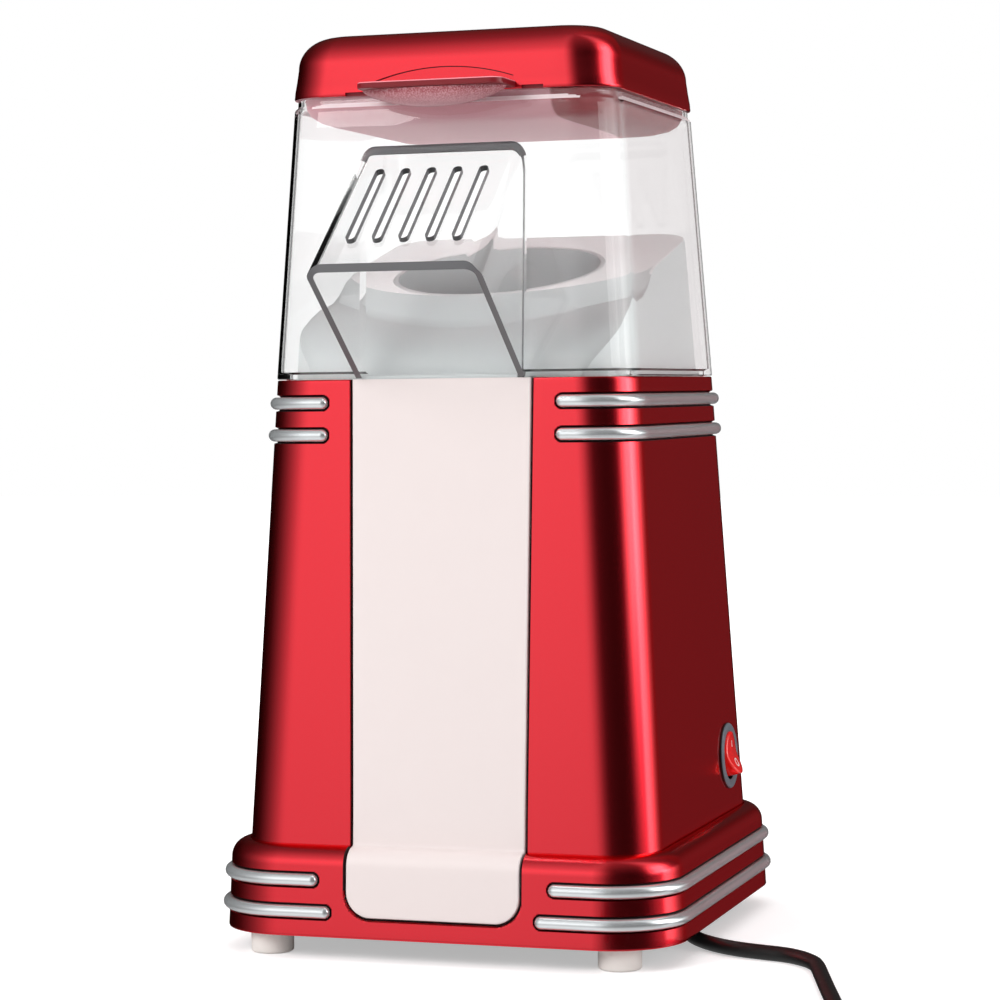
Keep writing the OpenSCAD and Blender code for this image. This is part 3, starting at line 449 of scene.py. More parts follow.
def paint_recess_shade(mesh, grooves):
    """Puts the second finish, a painted shade, on the faces that lie in a shell's grooves and in the panel's
    pocket.
    """
    x, y, z = facing(mesh)[0].T
    second_finish_faces = (y < -40) & (panel_inside(x, z, panel_gap) > 0.2)
    for k in grooves:
        second_finish_faces |= groove_at((x, y, z), k) > 0.3
    set_finishes(mesh, second_finish_faces)


def base_side(z):
    """Half-width of the base, which tapers by 1.3 mm over 23.5 mm from its lower edge."""
    return 80 - 1.3 / 23.5 * (z - 7.5)


shoulder_in, shoulder_z, shoulder_r = 72.5, 31, 6.2
base_steps = np.concatenate([[8.4, 10.5, 12.6], np.arange(13.0, 29.3, 0.35), [29.8, 30.5]])
base_profile = [(79.4, 7.5, 0.1, 0), (79.82, 7.62, 0.7, 0), (79.97, 7.9, 1, 0)]
base_profile += [(base_side(z), z, 1, 0) for z in base_steps]
base_profile += [(shoulder_in + shoulder_r * math.cos(a), shoulder_z + shoulder_r * math.sin(a), math.cos(a),
                  math.sin(a)) for a in np.radians(np.arange(0, 90.1, 7.5))]
base_profile += [(72.41, 37.15, 0, 1), (72.41, 36.6, 0, 1), (72.41, 33.5, 0, 0), (67, 33.5, 0, 0),
                 (67, 30, 0, 0), (75.6, 30, 0, 0), (76.2, 29.4, 0, 0), (77.3, 8, 0, 0), (77.6, 7.5, 0, 0)]
base_marks = [4, 12, 17, 20, *np.arange(21, 31.9, 0.4), 32.6, 33.6, *np.arange(34.5, 38.2, 0.33),
              *np.arange(38.9, 42.7, 0.33), 44, 47, 50, 53, 54.6, 55.1]
red_lacquer = grained("candy_red_lacquer", "#F32D3B", 0.28, size=0.6, depth=0.0004, span=(0.235, 0.265),
                      Metallic=1.0, Specular_Tint=linear("#FF5A5A"), Coat_Weight=0.6,
                      Coat_Roughness=0.06, Coat_IOR=1.5)
# The corners shrink with the half-width, and are all alike up the inside
base_corner = [24.9 - (80 - row[0]) if row[0] > 72.45 else 17.5 for row in base_profile]
base = new_piece(housing("base_housing_shell", base_profile, base_corner, mirrored_marks(base_marks), (0, 1)),
                 red_lacquer, "stand")
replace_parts(base, "base_housing")
# Painted shade: the grooves and the pocket are coloured nearly black
recess_shade_abs = grained("painted_recess_shade_maroon", "#240507", 0.6, size=0.5, depth=0.01, span=(0.5, 0.7))
base.data.materials.append(recess_shade_abs)
paint_recess_shade(base.data, (0, 1))


# ---- Trim strips ----
# Four half-round strips of satin chrome-plated ABS. Each is clipped into its groove, runs round the
# sides and the back, and ends in a quarter ball on either side of the panel.
chrome = grained("satin_chrome_plating", "#EDF1F3", 0.23, size=0.5, depth=0.0004, span=(0.21, 0.25),
                 Metallic=0.75)


def strip(name, k, half, corner):
    """A half-round section, closed by the chord in its groove, carried round a rounded square and
    drawn in to a quarter ball at both ends."""
    flat, start = half - corner, strip_start[k]
    ways = np.linspace(0, 1, 9)[1:] * (flat - start) + start
    points, outwards = plan(half, corner, mirrored_marks([start, *ways]))
    first = len(ways) + 1
    points, outwards = np.roll(points[0], -first, 0), np.roll(outwards[0], -first, 0)
    turned = np.radians(np.arange(83, 0, -11.8))
    end = np.stack([strip_r * np.sin(turned), 0 * turned], 1)
    path = np.vstack([points[:1] - end, points, (points[-1:] + end)[::-1]])
    out = np.vstack([outwards[:1]] * len(end) + [outwards] + [outwards[-1:]] * len(end))
    size = np.concatenate([np.cos(turned), np.ones(len(points)), np.cos(turned)[::-1]])
    chord = math.acos(-1.05 / strip_r)
    angle = math.pi / 2 + chord * np.linspace(-1, 1, 25)
    far = strip_r * size[:, None] * np.sin(angle)
    xy = path[:, None] + far[..., None] * out[:, None]
    z = strip_level[k] + strip_r * size[:, None] * np.cos(angle)
    return skin(name, np.dstack([xy, z]), ends=True)


body_fall = 8.4 / 154.6
body_top, body_r, body_wall = 191.8, 17.4, 2.7


def body_side(z):
    """Half-width of the body, which tapers evenly from the base up to its top."""
    return 72.06 - body_fall * (z - 37.2)


for k, node in enumerate(("base_trim_lower", "base_trim_upper", "body_trim_lower", "body_trim_upper")):
    half, corner = (base_side(strip_level[k]), 23.9) if k < 2 else (body_side(strip_level[k]), body_r)
    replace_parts(new_piece(strip(node + "_strip", k, half, corner), chrome, "stand"), node)


# ---- Body shell ----
# The tapering tower, one moulding in the same red lacquer, with the seat ring for the guide inside,
# two more grooves, the panel's pocket, and a round hole for the switch in its right side.
body_steps = np.concatenate([
    [33.5, 36.2, 37.2, 38.4, 41, 46, 52], np.arange(60, 168, 9), [168.5], np.arange(170.1, 176.4, 0.33),
    [178.6], np.arange(180.9, 187.2, 0.33), [189, 190.6]])
body_profile = [(body_side(z), z, 1, 0) for z in body_steps]
body_profile += [(body_side(191.3) - 0.5 * (1 - math.cos(a)), 191.3 + 0.5 * math.sin(a), math.cos(a), 0)
                 for a in np.radians((0, 30, 60, 90))]
# Down the inside, past the seat ring for the guide
seat_half, seat_corner = 56.5, 11.4
body_profile += [(body_side(body_top) - 2.3, body_top, 0, 0), (body_side(191.4) - body_wall, 191.4, 0, 0),
                 (body_side(181) - body_wall, 181, 0, 0), (seat_half, 181, 0, 0), (seat_half, 178.6, 0, 0),
                 (body_side(178) - body_wall, 178.6, 0, 0), (body_side(33.5) - body_wall, 33.5, 0, 0)]
# The columns at the pocket's edge follow it as it widens, and the last ones reach the corners
rise = np.array([row[1] for row in body_profile])[:, None]
reach = np.array([row[0] - body_r for row in body_profile])[:, None]
on_seat = [row[0] <= seat_half for row in body_profile]
reach[on_seat] = seat_half - seat_corner
edge_marks = panel_edge(rise, panel_gap) + np.array([-6, -1, -0.36, -0.27, -0.18, -0.09, 0, 0.3, 1.2])
end_marks = np.concatenate([[35, 38], np.arange(38.9, 44.9, 0.33)])
last_marks = 44.9 + (reach - 44.9) * np.array([0.4, 0.8, 1])
body_marks = np.hstack([np.array([4, 14]) + 0 * rise, edge_marks, end_marks + 0 * rise, last_marks])
body_marks = np.hstack([-body_marks[:, ::-1], body_marks])
body_corner = [seat_corner if row[0] <= seat_half else body_r - (body_side(row[1]) - row[0])
               for row in body_profile]
body_mesh = housing("body_shell_tower", body_profile, body_corner, body_marks, (2, 3))


def carved(mesh, tools):
    """A mesh with other closed meshes cut out of it, which keeps its name."""
    name = mesh.name
    whole = put(name, mesh)
    knives = [put("knife", tool) for tool in tools]
    for knife in knives:
        cut = whole.modifiers.new("cut", "BOOLEAN")
        cut.operation, cut.solver, cut.object = "DIFFERENCE", "EXACT", knife
    bpy.context.view_layer.update()
    done = bpy.data.meshes.new_from_object(whole.evaluated_get(bpy.context.evaluated_depsgraph_get()))
    for made in (whole, *knives):
        bpy.data.objects.remove(made)
    bpy.data.meshes.remove(mesh)
    done.name = name
    done.materials.clear()
    done.shade_smooth()
    done.set_sharp_from_angle(angle=crease)
    return done


# The switch's own frame on the right side: u down the face, v to the back, w out of it
switch_tilt = math.atan(body_fall)
switch_w = np.array([math.cos(switch_tilt), 0, math.sin(switch_tilt)])
switch_u = np.array([math.sin(switch_tilt), 0, -math.cos(switch_tilt)])
switch_v = np.array([0, 1.0, 0])
switch_at = np.array([body_side(56.7), 38.4, 56.7])


def turned_on_switch(name, profile, steps=64, along=False):
    """A profile of radii and depths turned about the switch's axis."""
    r, w = np.array(profile, float).T[:, :, None]
    a = np.linspace(0, math.tau, steps, endpoint=False)
    grid = (switch_at + (r * np.cos(a))[..., None] * switch_u + (r * np.sin(a))[..., None] * switch_v
            + (w + 0 * a)[..., None] * switch_w)
    return skin(name, grid, along=along, ends=not along)


body = new_piece(carved(body_mesh, [turned_on_switch("hole", [(10.15, 6), (10.15, -8)])]),
                 red_lacquer, "stand")
body.data.materials.append(recess_shade_abs)
paint_recess_shade(body.data, (2, 3))
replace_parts(body, "body_shell")


# ---- Front panel ----
# A strip of cream ABS that lies flush in its pocket from the body's top edge down over the step of
# the base, where it ends with two round corners.
def slab(name, front, back):
    """A closed plate between two grids of one shape, the second behind the first."""
    rows, columns = front.shape[:2]
    at = np.arange(rows * columns).reshape(rows, columns)
    quads = np.stack([at[:-1, :-1], at[:-1, 1:], at[1:, 1:], at[1:, :-1]], 2).reshape(-1, 4)
    rim = np.concatenate([at[0, :-1], at[:-1, -1], at[-1, :0:-1], at[:0:-1, 0]])
    ahead = np.roll(rim, -1)
    far = rows * columns
    faces = np.vstack([quads, quads[:, ::-1] + far, np.stack([ahead, rim, rim + far, ahead + far], 1)])
    return mesh_of(name, np.vstack([front.reshape(-1, 3), back.reshape(-1, 3)]), faces.tolist())


fillet, panel_thick = 0.6, 1.55
panel_line = [(body_side(z), z) for z in (body_top, 180, 160, 140, 120, 100, 80, 60, 50, 44, 40, 38.6)]
panel_line += [(72.04, 38), (72.2, 37.55), (72.55, 37.28), (73.1, 37.17)]
panel_line += [(shoulder_in + shoulder_r * math.cos(a), shoulder_z + shoulder_r * math.sin(a))
               for a in np.radians(np.arange(77, -1, -7))]
panel_line += [(base_side(z), z) for z in (28, 25)]
corner_z = panel_foot + panel_corner
panel_line += [(base_side(z), z) for z in corner_z - panel_corner * np.sin(np.radians(np.arange(0, 68, 6)))]
panel_line += [(base_side(z), z) for z in panel_foot + np.array([0.6, 0.45, 0.3, 0.18, 0.08, 0])]
panel_line = np.array(panel_line)
slope = np.gradient(panel_line, axis=0)
slope /= np.linalg.norm(slope, axis=1)[:, None]
panel_z = panel_line[:, 1:]
low_drop = np.clip(corner_z - panel_z, 0, panel_corner)
panel_half = panel_edge(panel_z) - panel_corner + np.sqrt(panel_corner ** 2 - low_drop ** 2)
rim_marks = np.array([0, 0.08, 0.18, 0.3, 0.45, 0.6, 1.2])
panel_x = np.hstack([rim_marks - panel_half, (panel_half - 1.2) * np.linspace(-0.9, 0.9, 9),
                     panel_half - rim_marks[::-1]])


def panel_layer(deep):
    """The panel's outline at a depth under its front, measured square to the line down it."""
    front_of = panel_line[:, None, 0] + deep * slope[:, None, 1]
    up_of = panel_line[:, None, 1] - deep * slope[:, None, 0]
    return np.dstack([panel_x, -front_of, up_of])


rounded = np.clip(fillet - panel_inside(panel_x, panel_z + 0 * panel_x), 0, fillet)
edge_drop = fillet - np.sqrt(fillet ** 2 - rounded ** 2)
cream = grained("cream_moulded_abs", "#E8DCDA", 0.32, size=3, depth=0.01, span=(0.28, 0.36), IOR=1.54)
panel = new_piece(slab("front_panel_plate", panel_layer(edge_drop)[::-1],
                  panel_layer(panel_thick + 0 * edge_drop)[::-1]), cream, "stand")
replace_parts(panel, "front_panel")


# ---- Rocker switch ----
# A round snap-in switch: a slate grey bezel on the body's face, whose side is black as painted shade, a black
# nylon box behind it, and a glossy red rocker, lower end out, with white marks for on and off.
bezel_profile = [(8.4, 0), (8.4, 0.55), (8.75, 0.9), (9.2, 1.05), (10.7, 1.05), (11.3, 0.9), (11.6, 0.55),
                 (11.7, 0.3), (11.7, 0)]
slate = grained("slate_grey_nylon", "#66717A", 0.35, size=0.4, depth=0.01, span=(0.28, 0.42), IOR=1.53)
black_nylon = grained("black_nylon", "#0B0B0C", 0.45, size=0.4, depth=0.02, span=(0.38, 0.52), IOR=1.53)
bezel = new_piece(turned_on_switch("switch_bezel_ring", bezel_profile, along=True), slate,
                  "stand")
bezel.data.materials.append(black_nylon)
# Painted shade: the bezel's side faces get the black nylon
where, way_out = facing(bezel.data)
from_pin = where - switch_at - ((where - switch_at) @ switch_w)[:, None] * switch_w
edge_on = np.einsum("ij,ij->i", from_pin / np.linalg.norm(from_pin, axis=1)[:, None], way_out)
set_finishes(bezel.data, np.abs(edge_on) > 0.85)
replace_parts(bezel, "switch_bezel")

rocker_lean, rocker_pin = math.radians(12), -2.2
rocker_long, rocker_wide = 7.75, 6.9


def rocker_face(u, v):
    """The rocker's face stands highest at its two ends and is crowned a little from side to side."""
    return 4.1 + 1.5 * (np.abs(u) / 7.2) ** 1.4 - 0.3 * (v / rocker_wide) ** 2


def on_rocker(u, v, w):
    """Points in the rocker's own frame, whose origin is its pin."""
    c, s = math.cos(rocker_lean), math.sin(rocker_lean)
    return (switch_at + (u * c - w * s)[..., None] * switch_u + v[..., None] * switch_v
            + (u * s + w * c + rocker_pin)[..., None] * switch_w)


turned = np.linspace(0, math.tau, 64, endpoint=False)
edge_u, edge_v = rocker_long * np.cos(turned), rocker_wide * np.sin(turned)
# Its side by share of the outline and height, then its face by share and depth under the crown
rocker_side = ((0.8, -4), (0.97, -2.5), (1, 0), (1, 2))
rocker_crown = ((1, 0.7), (0.99, 0.4), (0.965, 0.15), (0.93, 0), (0.8, 0), (0.6, 0), (0.4, 0), (0.2, 0),
                (0.03, 0))
rocker_rows = [on_rocker(edge_u * k, edge_v * k, 0 * turned + w) for k, w in rocker_side]
for k, sunk in rocker_crown:
    rocker_rows.append(on_rocker(edge_u * k, edge_v * k, rocker_face(edge_u * k, edge_v * k) - sunk))
rocker_red = grained("glossy_red_polycarbonate", "#FF1812", 0.15, size=2, depth=0.004,
                     span=(0.09, 0.16), IOR=1.58, Coat_Weight=0.6, Coat_Roughness=0.04,
                     Subsurface_Weight=0.3, Subsurface_Scale=0.003)
rocker = new_piece(skin("switch_rocker_cap", np.stack(rocker_rows), ends=True), rocker_red,
                   "rocker")
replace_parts(rocker, "switch_rocker")
# The marks are pad-printed and stand a little proud
ink = grained("white_pad_print", "#F6E6E4", 0.4, size=0.2, depth=0.003, span=(0.35, 0.5))
proud, sunk = 0.05, 0.1
u, v = np.meshgrid(np.linspace(-4.4, -2.2, 6), np.array([-0.3, 0, 0.3]), indexing="ij")
bar_top, bar_foot = (on_rocker(u, v, rocker_face(u, v) + off) for off in (proud, -sunk))
bar = slab("switch_mark_on", bar_top, bar_foot)
ring_r, ring_at = (1.15, 1.6, 1.6, 1.15), 3.5
u, v = ring_at + np.outer(ring_r, np.cos(turned)), np.outer(ring_r, np.sin(turned))
ring_w = rocker_face(u, v) + np.array([[proud], [proud], [-sunk], [-sunk]])
ring = skin("switch_mark_off", on_rocker(u, v, ring_w), along=True)
for mark in (bar, ring):
    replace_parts(new_piece(mark, ink, "rocker"), "switch_rocker")
dress(black_nylon, "switch_body")
tinned = grained("tinned_brass", "#D3BE86", 0.3, size=1.0, depth=0.003, span=(0.22, 0.42), Metallic=1.0)
dress(tinned, "switch_terminals")
brown_pvc = grained("brown_pvc_insulation", "#4E2A19", 0.42, size=0.8, depth=0.01, span=(0.35, 0.5))
dress(brown_pvc, "switch_leads")


# ---- Motor and fan ----
# A small motor hangs by a sheet-steel cross in the fan's housing, moulded in glass-filled nylon.
# Its ground shaft carries the impeller of natural nylon, and four diodes on a board feed it.
zinc, tree, shader, place = finish("zinc_plated_steel", "#BFC4C8", 0.38, Metallic=1.0)
# Passivation leaves the zinc faintly yellow and blue in patches
passivated = grain(tree, shader, place, 2.5, 0.004, (0.3, 0.48))
sheen = add(tree, "ShaderNodeMix", {0: passivated.outputs[0], 6: linear("#C9C5B0"), 7: linear("#B3BDC8")},
            data_type="RGBA")
tree.links.new(sheen.outputs[2], shader.inputs["Base Color"])
dress(zinc, "motor_bracket", "motor_screws", "housing_screws", "guide_screws", "base_screws")


def lined(name, code, roughness, pitch, depth, squash):
    """A metal with the fine lines that a lathe or a draw ring leaves, in mm: noise drawn out across the
    axis, as bumps."""
    made, tree, shader, place = finish(name, code, roughness, Metallic=1.0)
    drawn = add(tree, "ShaderNodeVectorMath", {0: place, 1: squash}, operation="MULTIPLY")
    lines = add(tree, "ShaderNodeTexNoise",
                {"Vector": drawn.outputs[0], "Scale": 1 / (pitch * mm), "Detail": 3.0})
    bump = add(tree, "ShaderNodeBump",
               {"Strength": 1.0, "Distance": depth * mm, "Height": lines.outputs[0]})
    tree.links.new(bump.outputs[0], shader.inputs["Normal"])
    return made


motor_steel = lined("drawn_nickel_plated_steel", "#C6C5BF", 0.28, pitch=0.8, depth=0.006,
                    squash=(1, 1, 0.06))
dress(motor_steel, "motor_can")
ground_steel = lined("ground_steel", "#D6D8DA", 0.14, pitch=0.3, depth=0.001, squash=(0.05, 0.05, 1))
dress(ground_steel, "motor_shaft")
natural_nylon = grained("natural_nylon", "#E6DFC9", 0.45, size=1.2, depth=0.01, span=(0.38, 0.52),
                        IOR=1.53, Subsurface_Weight=0.15, Subsurface_Scale=0.002)
dress(natural_nylon, "fan_impeller")
glass_nylon, tree, shader, place = finish("glass_filled_nylon", "#25292C", 0.55, IOR=1.53)
# Short glass fibres show as pale specks in the skin
specks = grain(tree, shader, place, 0.5, 0.02, (0.45, 0.62))
fibres = add(tree, "ShaderNodeMapRange", {0: specks.outputs[0], 1: 0.6, 2: 0.72, 3: 0.0, 4: 0.5})
fibres = add(tree, "ShaderNodeMix", {0: fibres.outputs[0], 6: linear("#25292C"), 7: linear("#565C60")},
             data_type="RGBA")
tree.links.new(fibres.outputs[2], shader.inputs["Base Color"])
dress(glass_nylon, "fan_housing")
board = grained("green_solder_mask", "#1E6B3C", 0.3, size=0.4, depth=0.006, span=(0.24, 0.4), IOR=1.5)
dress(board, "rectifier_board")
epoxy = grained("moulded_black_epoxy", "#0F0F11", 0.35, size=0.3, depth=0.006, span=(0.3, 0.42),
                IOR=1.55)
dress(epoxy, "rectifier_diodes")


# ---- Heater ----
# Nichrome wire wound on two crossed plates of mica, in a galvanised sleeve that leads the fan's
# air up round the drum. A bimetal thermostat and a thermal fuse sit on the sleeve.
mica, tree, shader, place = finish("pressed_mica", "#BDA27A", 0.4, IOR=1.58, Coat_Weight=0.3,
                                   Coat_Roughness=0.2)
# Flakes of different gold-brown tints lie over each other
flake_size = 2.5 * mm
flakes = add(tree, "ShaderNodeTexVoronoi", {"Vector": place, "Scale": 1 / flake_size})
tint = add(tree, "ShaderNodeMix", {0: flakes.outputs["Color"], 6: linear("#A98B62"), 7: linear("#D2BC94")},
           data_type="RGBA")
tree.links.new(tint.outputs[2], shader.inputs["Base Color"])
dress(mica, "heater_former")
nichrome = grained("oxidised_nichrome", "#6E645C", 0.45, size=0.5, depth=0.01, span=(0.38, 0.58),
                   Metallic=1.0)
dress(nichrome, "heater_coil")
galvanised, tree, shader, place = finish("galvanised_sheet", "#AEB4B9", 0.4, Metallic=1.0)
# Spangles: each crystal of zinc has its own gloss
spangle_size = 5 * mm
spangle = add(tree, "ShaderNodeTexVoronoi", {"Vector": place, "Scale": 1 / spangle_size})
gloss = add(tree, "ShaderNodeMapRange", {0: spangle.outputs["Color"], 3: 0.28, 4: 0.55})
tree.links.new(gloss.outputs[0], shader.inputs["Roughness"])
dress(galvanised, "drum_sleeve")
brass = grained("stamped_brass", "#C7A44E", 0.3, size=1.0, depth=0.004, span=(0.22, 0.42), Metallic=1.0)
dress(brass, "thermostat")
dress(tinned, "thermal_fuse")


# ---- Popping drum ----
# A cup drawn from aluminium sheet, with slanting slots low in its wall that set the corn whirling.
# Its flange rests on a red silicone gasket under the body's seat.
aluminium = lined("drawn_aluminium", "#D3D5D7", 0.32, pitch=0.6, depth=0.006, squash=(0.04, 0.04, 1))
dress(aluminium, "popping_drum")
silicone = grained("red_silicone", "#A32A20", 0.5, size=0.8, depth=0.01, span=(0.42, 0.6), IOR=1.41)
dress(silicone, "drum_gasket")


# ---- Popcorn guide ----
# Moulded in white ABS and screwed to the body's seat: a deck that slopes down to the front round the
# drum's mouth, a curved lip in front of the mouth, and a bowed slide that sheds the corn to the chute.
guide_half, guide_wall, mouth_edge = 58.4, 1.8, 37.2
lip_r, lip_mid, lip_wide = 62, 24.6, 6.6
deck_z, deck_rise = 229.5, 0.26
slide_low, slide_high, slide_back, slide_deep = 190, 31, 5, 62.5


def guide_height(x, y):
    """The deck's plane inside a circle of radius lip_r round a point behind the axis; in front of it a
    lip lip_wide wide falls to the slide, whose profile is a quarter of an ellipse."""
    deck = deck_z + deck_rise * y
    slide = slide_low + slide_high * np.sqrt(1 - np.clip((slide_back - y) / slide_deep, 0, 1) ** 2)
    fall = np.clip((np.hypot(x, y - lip_mid) - lip_r) / lip_wide, 0, 1)
    return deck + (slide - deck) * fall


guide_r = 14
plan_points, _ = plan(guide_half, guide_r, (guide_half - guide_r) * np.linspace(-1, 1, 25)[None],
                      side=np.linspace(-1, 1, 15), arc=14)
rays = np.linalg.norm(plan_points[0], axis=1)
ways = plan_points[0] / rays[:, None]
edge_z = guide_height(*plan_points[0].T)
top_reach = rays * (1 - 0.0011 * (edge_z - 183))
ahead = ways[:, 1] * lip_mid
lip_at = [np.clip(ahead + np.sqrt(ahead ** 2 + r ** 2 - lip_mid ** 2), mouth_edge, top_reach - e)
          for r, e in ((lip_r, 1.4), (lip_r + lip_wide, 1.0))]
shares = [mouth_edge + 0 * rays, (mouth_edge + lip_at[0]) / 2]
shares += [lip_at[0] + (lip_at[1] - lip_at[0]) * t for t in np.linspace(0, 1, 6)]
shares += [lip_at[1] + (top_reach - 0.6 - lip_at[1]) * t for t in np.linspace(0, 1, 13)[1:]]
shares = np.array(shares)
x, y = (shares * ways[:, k] for k in (0, 1))
top = np.dstack([x, y, guide_height(x, y)])
below = top[::-1] - (0, 0, guide_wall)
below[0, :, :2] *= ((top_reach - guide_wall) / (top_reach - 0.6))[:, None]
outline = plan_points[0]
rows = [*top, np.column_stack([outline * ((top_reach - 0.15) / rays)[:, None], top[-1, :, 2] - 0.2]),
        np.column_stack([outline * (top_reach / rays)[:, None], top[-1, :, 2] - 0.7])]
rows += [np.column_stack([outline * half / guide_half, 0 * rays + z])
         for half, z in ((guide_half, 183), (61.1, 183), (61.1, 181), (guide_half - guide_wall, 181),
                         (guide_half - guide_wall, 183))]
guide_plastic = grained("white_moulded_abs", "#C8CDCD", 0.45, size=1.0, depth=0.01, span=(0.4, 0.52))
dress(guide_plastic, "mouth_collar")
guide = new_piece(skin("popcorn_guide_deck", np.stack([*rows, *below]), along=True),
                  guide_plastic, "stand")
lip_x = np.linspace(-26.5, 26.5, 9)[None] + np.zeros((4, 1))
lip_y, lip_z = (np.array(v)[:, None] + 0 * lip_x
                for v in ((-63.5, -63.1, -60, -56), (192.6, 193.1, 193.2, 193.2)))
sill = new_piece(slab("popcorn_guide_sill", np.dstack([lip_x, lip_y, lip_z]),
                 np.dstack([lip_x, lip_y, 191.85 + 0 * lip_z])), guide_plastic, "stand")
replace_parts(guide, "popcorn_guide")
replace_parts(sill, "popcorn_guide")
# Painted light: the deck gets a whiter, smoother copy of the white ABS than the slide
lit_deck_abs = grained("white_abs_painted_light", "#F8FAFA", 0.25, size=2.0, depth=0.004, span=(0.2, 0.3),
                       IOR=1.54)
guide.data.materials.append(lit_deck_abs)
where, way_out = facing(guide.data)
lit_deck_faces = (way_out[:, 2] > 0.8) & (np.hypot(where[:, 0], where[:, 1] - lip_mid) < lip_r)
set_finishes(guide.data, lit_deck_faces)


# ---- Clear cover ----
# One moulding in clear polycarbonate: a tapering box without a top or bottom, with a skirt that
# stands inside the body's edge, a neck for the cap, and an opening in front for the chute.
def cover_side(z):
    """Half-width of the cover, which tapers evenly from the body's top up to its neck."""
    return 63.74 - 5.84 / 91.2 * (z - body_top)


# Half-widths from which the corners of the neck and of the skirt are drawn in
neck_half, foot_half = 56.9, 63.0
cover_profile = [(60.6, 186), (60.6, 191.9), (60.9, 192.1), (cover_side(192.1) - 0.3, 192.1)]
cover_profile += [(cover_side(z), z) for z in (192.4, 194, 200, 210, 230, 250, 265, 275, 281, 282.6)]
cover_profile += [(57.72, 283), (57.3, 283.35), (57.02, 283.7), (56.9, 284.1), (56.8, 285.7), (56.6, 286)]
cover_profile += [(55.1, 286), (54.9, 285.7), (55, 284), (55.3, 283.2), (55.8, 282.4), (56, 281.5)]
cover_profile += [(cover_side(z) - 2, z) for z in (275, 265, 250, 230, 210, 200, 196)]
cover_profile += [(61.4, 194.4), (58.8, 193.6), (58.8, 186)]
cover_rise = np.array([row[1] for row in cover_profile])
cover_half = np.array([row[0] for row in cover_profile])
cover_corner = np.interp(cover_rise, [192, 283, 283.7], [17, 15.9, 15.3])
outer_half = np.select([cover_rise > 283.6, cover_rise < 192], [neck_half, foot_half],
                       cover_side(cover_rise))
within = outer_half - cover_half
cover_corner = cover_corner - np.clip(within, 0, 4)
shares = np.concatenate([[-1, -0.97, -0.85], np.linspace(-0.68, 0.68, 9), [0.85, 0.97, 1]])
points, _ = plan(cover_half, cover_corner, (cover_half - cover_corner)[:, None] * shares, arc=20)
cover_grid = np.dstack([points, cover_rise[:, None] + 0 * points[..., 0]])
cover_mesh = skin("clear_cover_shell", cover_grid, along=True)

hood_half, hood_wall, hood_round = 29.4, 2.1, 5.5
hood_tip, hood_foot = np.array([109.4, 228.2]), np.array([64.6, 192.1])
hood_tip_under = hood_tip - (0, 2.7)
hood_rear_top = np.array([cover_side(269.2), 269.2])
downhill = (hood_tip - hood_rear_top) / np.linalg.norm(hood_tip - hood_rear_top)
under = np.array([downhill[1], -downhill[0]])
rear_foot = np.array([cover_side(192.1), 192.1])


def hood_section(inset, low):
    """Half-width and depth under the sloped top, from the foot of the left leg over the top to the
    foot of the right one: straight legs, a quarter circle at each corner, and a flat top."""
    half, r = hood_half - inset, hood_round - inset
    a = np.radians(np.linspace(0, 90, 9))
    legs = np.linspace(low, hood_round, 14)[:-1]
    x = np.concatenate([half + 0 * legs, half - r + r * np.cos(a), np.linspace(half - r, 0, 6)[1:]])
    deep = np.concatenate([legs, inset + r - r * np.sin(a), [inset] * 5])
    return np.concatenate([-x, x[-2::-1]]), np.concatenate([deep, deep[-2::-1]])


def along_to(start, one, other):
    """Where lines from the points start, down the hood's slope, meet the line from one to other."""
    across = other - one
    side = np.array([-across[1], across[0]])
    return start + ((one - start) @ side / (downhill @ side))[:, None] * downhill


def hood_row(x, deep, one, other):
    """Points of a hood section carried down the slope to a line from one to other."""
    spot = along_to(hood_rear_top + deep[:, None] * under, one, other)
    return np.stack([x, -spot[:, 0], spot[:, 1]], 1)


doorway_x, doorway_deep = hood_section(hood_wall, hood_round)
doorway_x = np.concatenate([doorway_x[:1], doorway_x[13:-13], doorway_x[-1:]])
doorway_deep = np.concatenate([doorway_deep[:1], doorway_deep[13:-13], doorway_deep[-1:]])
doorway = np.stack([hood_row(doorway_x, doorway_deep, np.array([far, 0.0]), np.array([far, 300.0]))
                    for far in (80, 30)])
doorway[:, (0, -1), 2] = 185


def clear_moulding(name, stops):
    """Clear polycarbonate with painted shade: its colour darkens the more aslant it is seen, which draws dark
    edges and corners.
    """
    made, tree, shader, _ = finish(name, "#FFFFFF", 0.0, IOR=1.06, Transmission_Weight=1.0, Coat_Weight=0.8,
                                   Coat_Roughness=0.02, Coat_IOR=1.5)
    glancing = add(tree, "ShaderNodeLayerWeight", {"Blend": 0.5}).outputs["Facing"]
    aslant_shade = add(tree, "ShaderNodeValToRGB", {"Fac": glancing}, stops=stops)
    tree.links.new(aslant_shade.outputs["Color"], shader.inputs["Base Color"])
    return made


clear = clear_moulding("clear_polycarbonate",
                       [(0, 0.985), (0.765, 0.97), (0.81, 0.6), (0.88, 0.4), (1, 0.35)])
cover = new_piece(carved(cover_mesh, [skin("doorway", doorway, ends=True)]),
                  clear, "cover")
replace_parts(cover, "clear_cover")
# Painted shade: square-cut faces, here those of the doorway, are coloured grey
grey_cut_shade = grained("painted_shade_cut_faces", "#626264", 0.35, size=0.8, depth=0.01, span=(0.3, 0.45),
                   IOR=1.5)
cover.data.materials.append(grey_cut_shade)
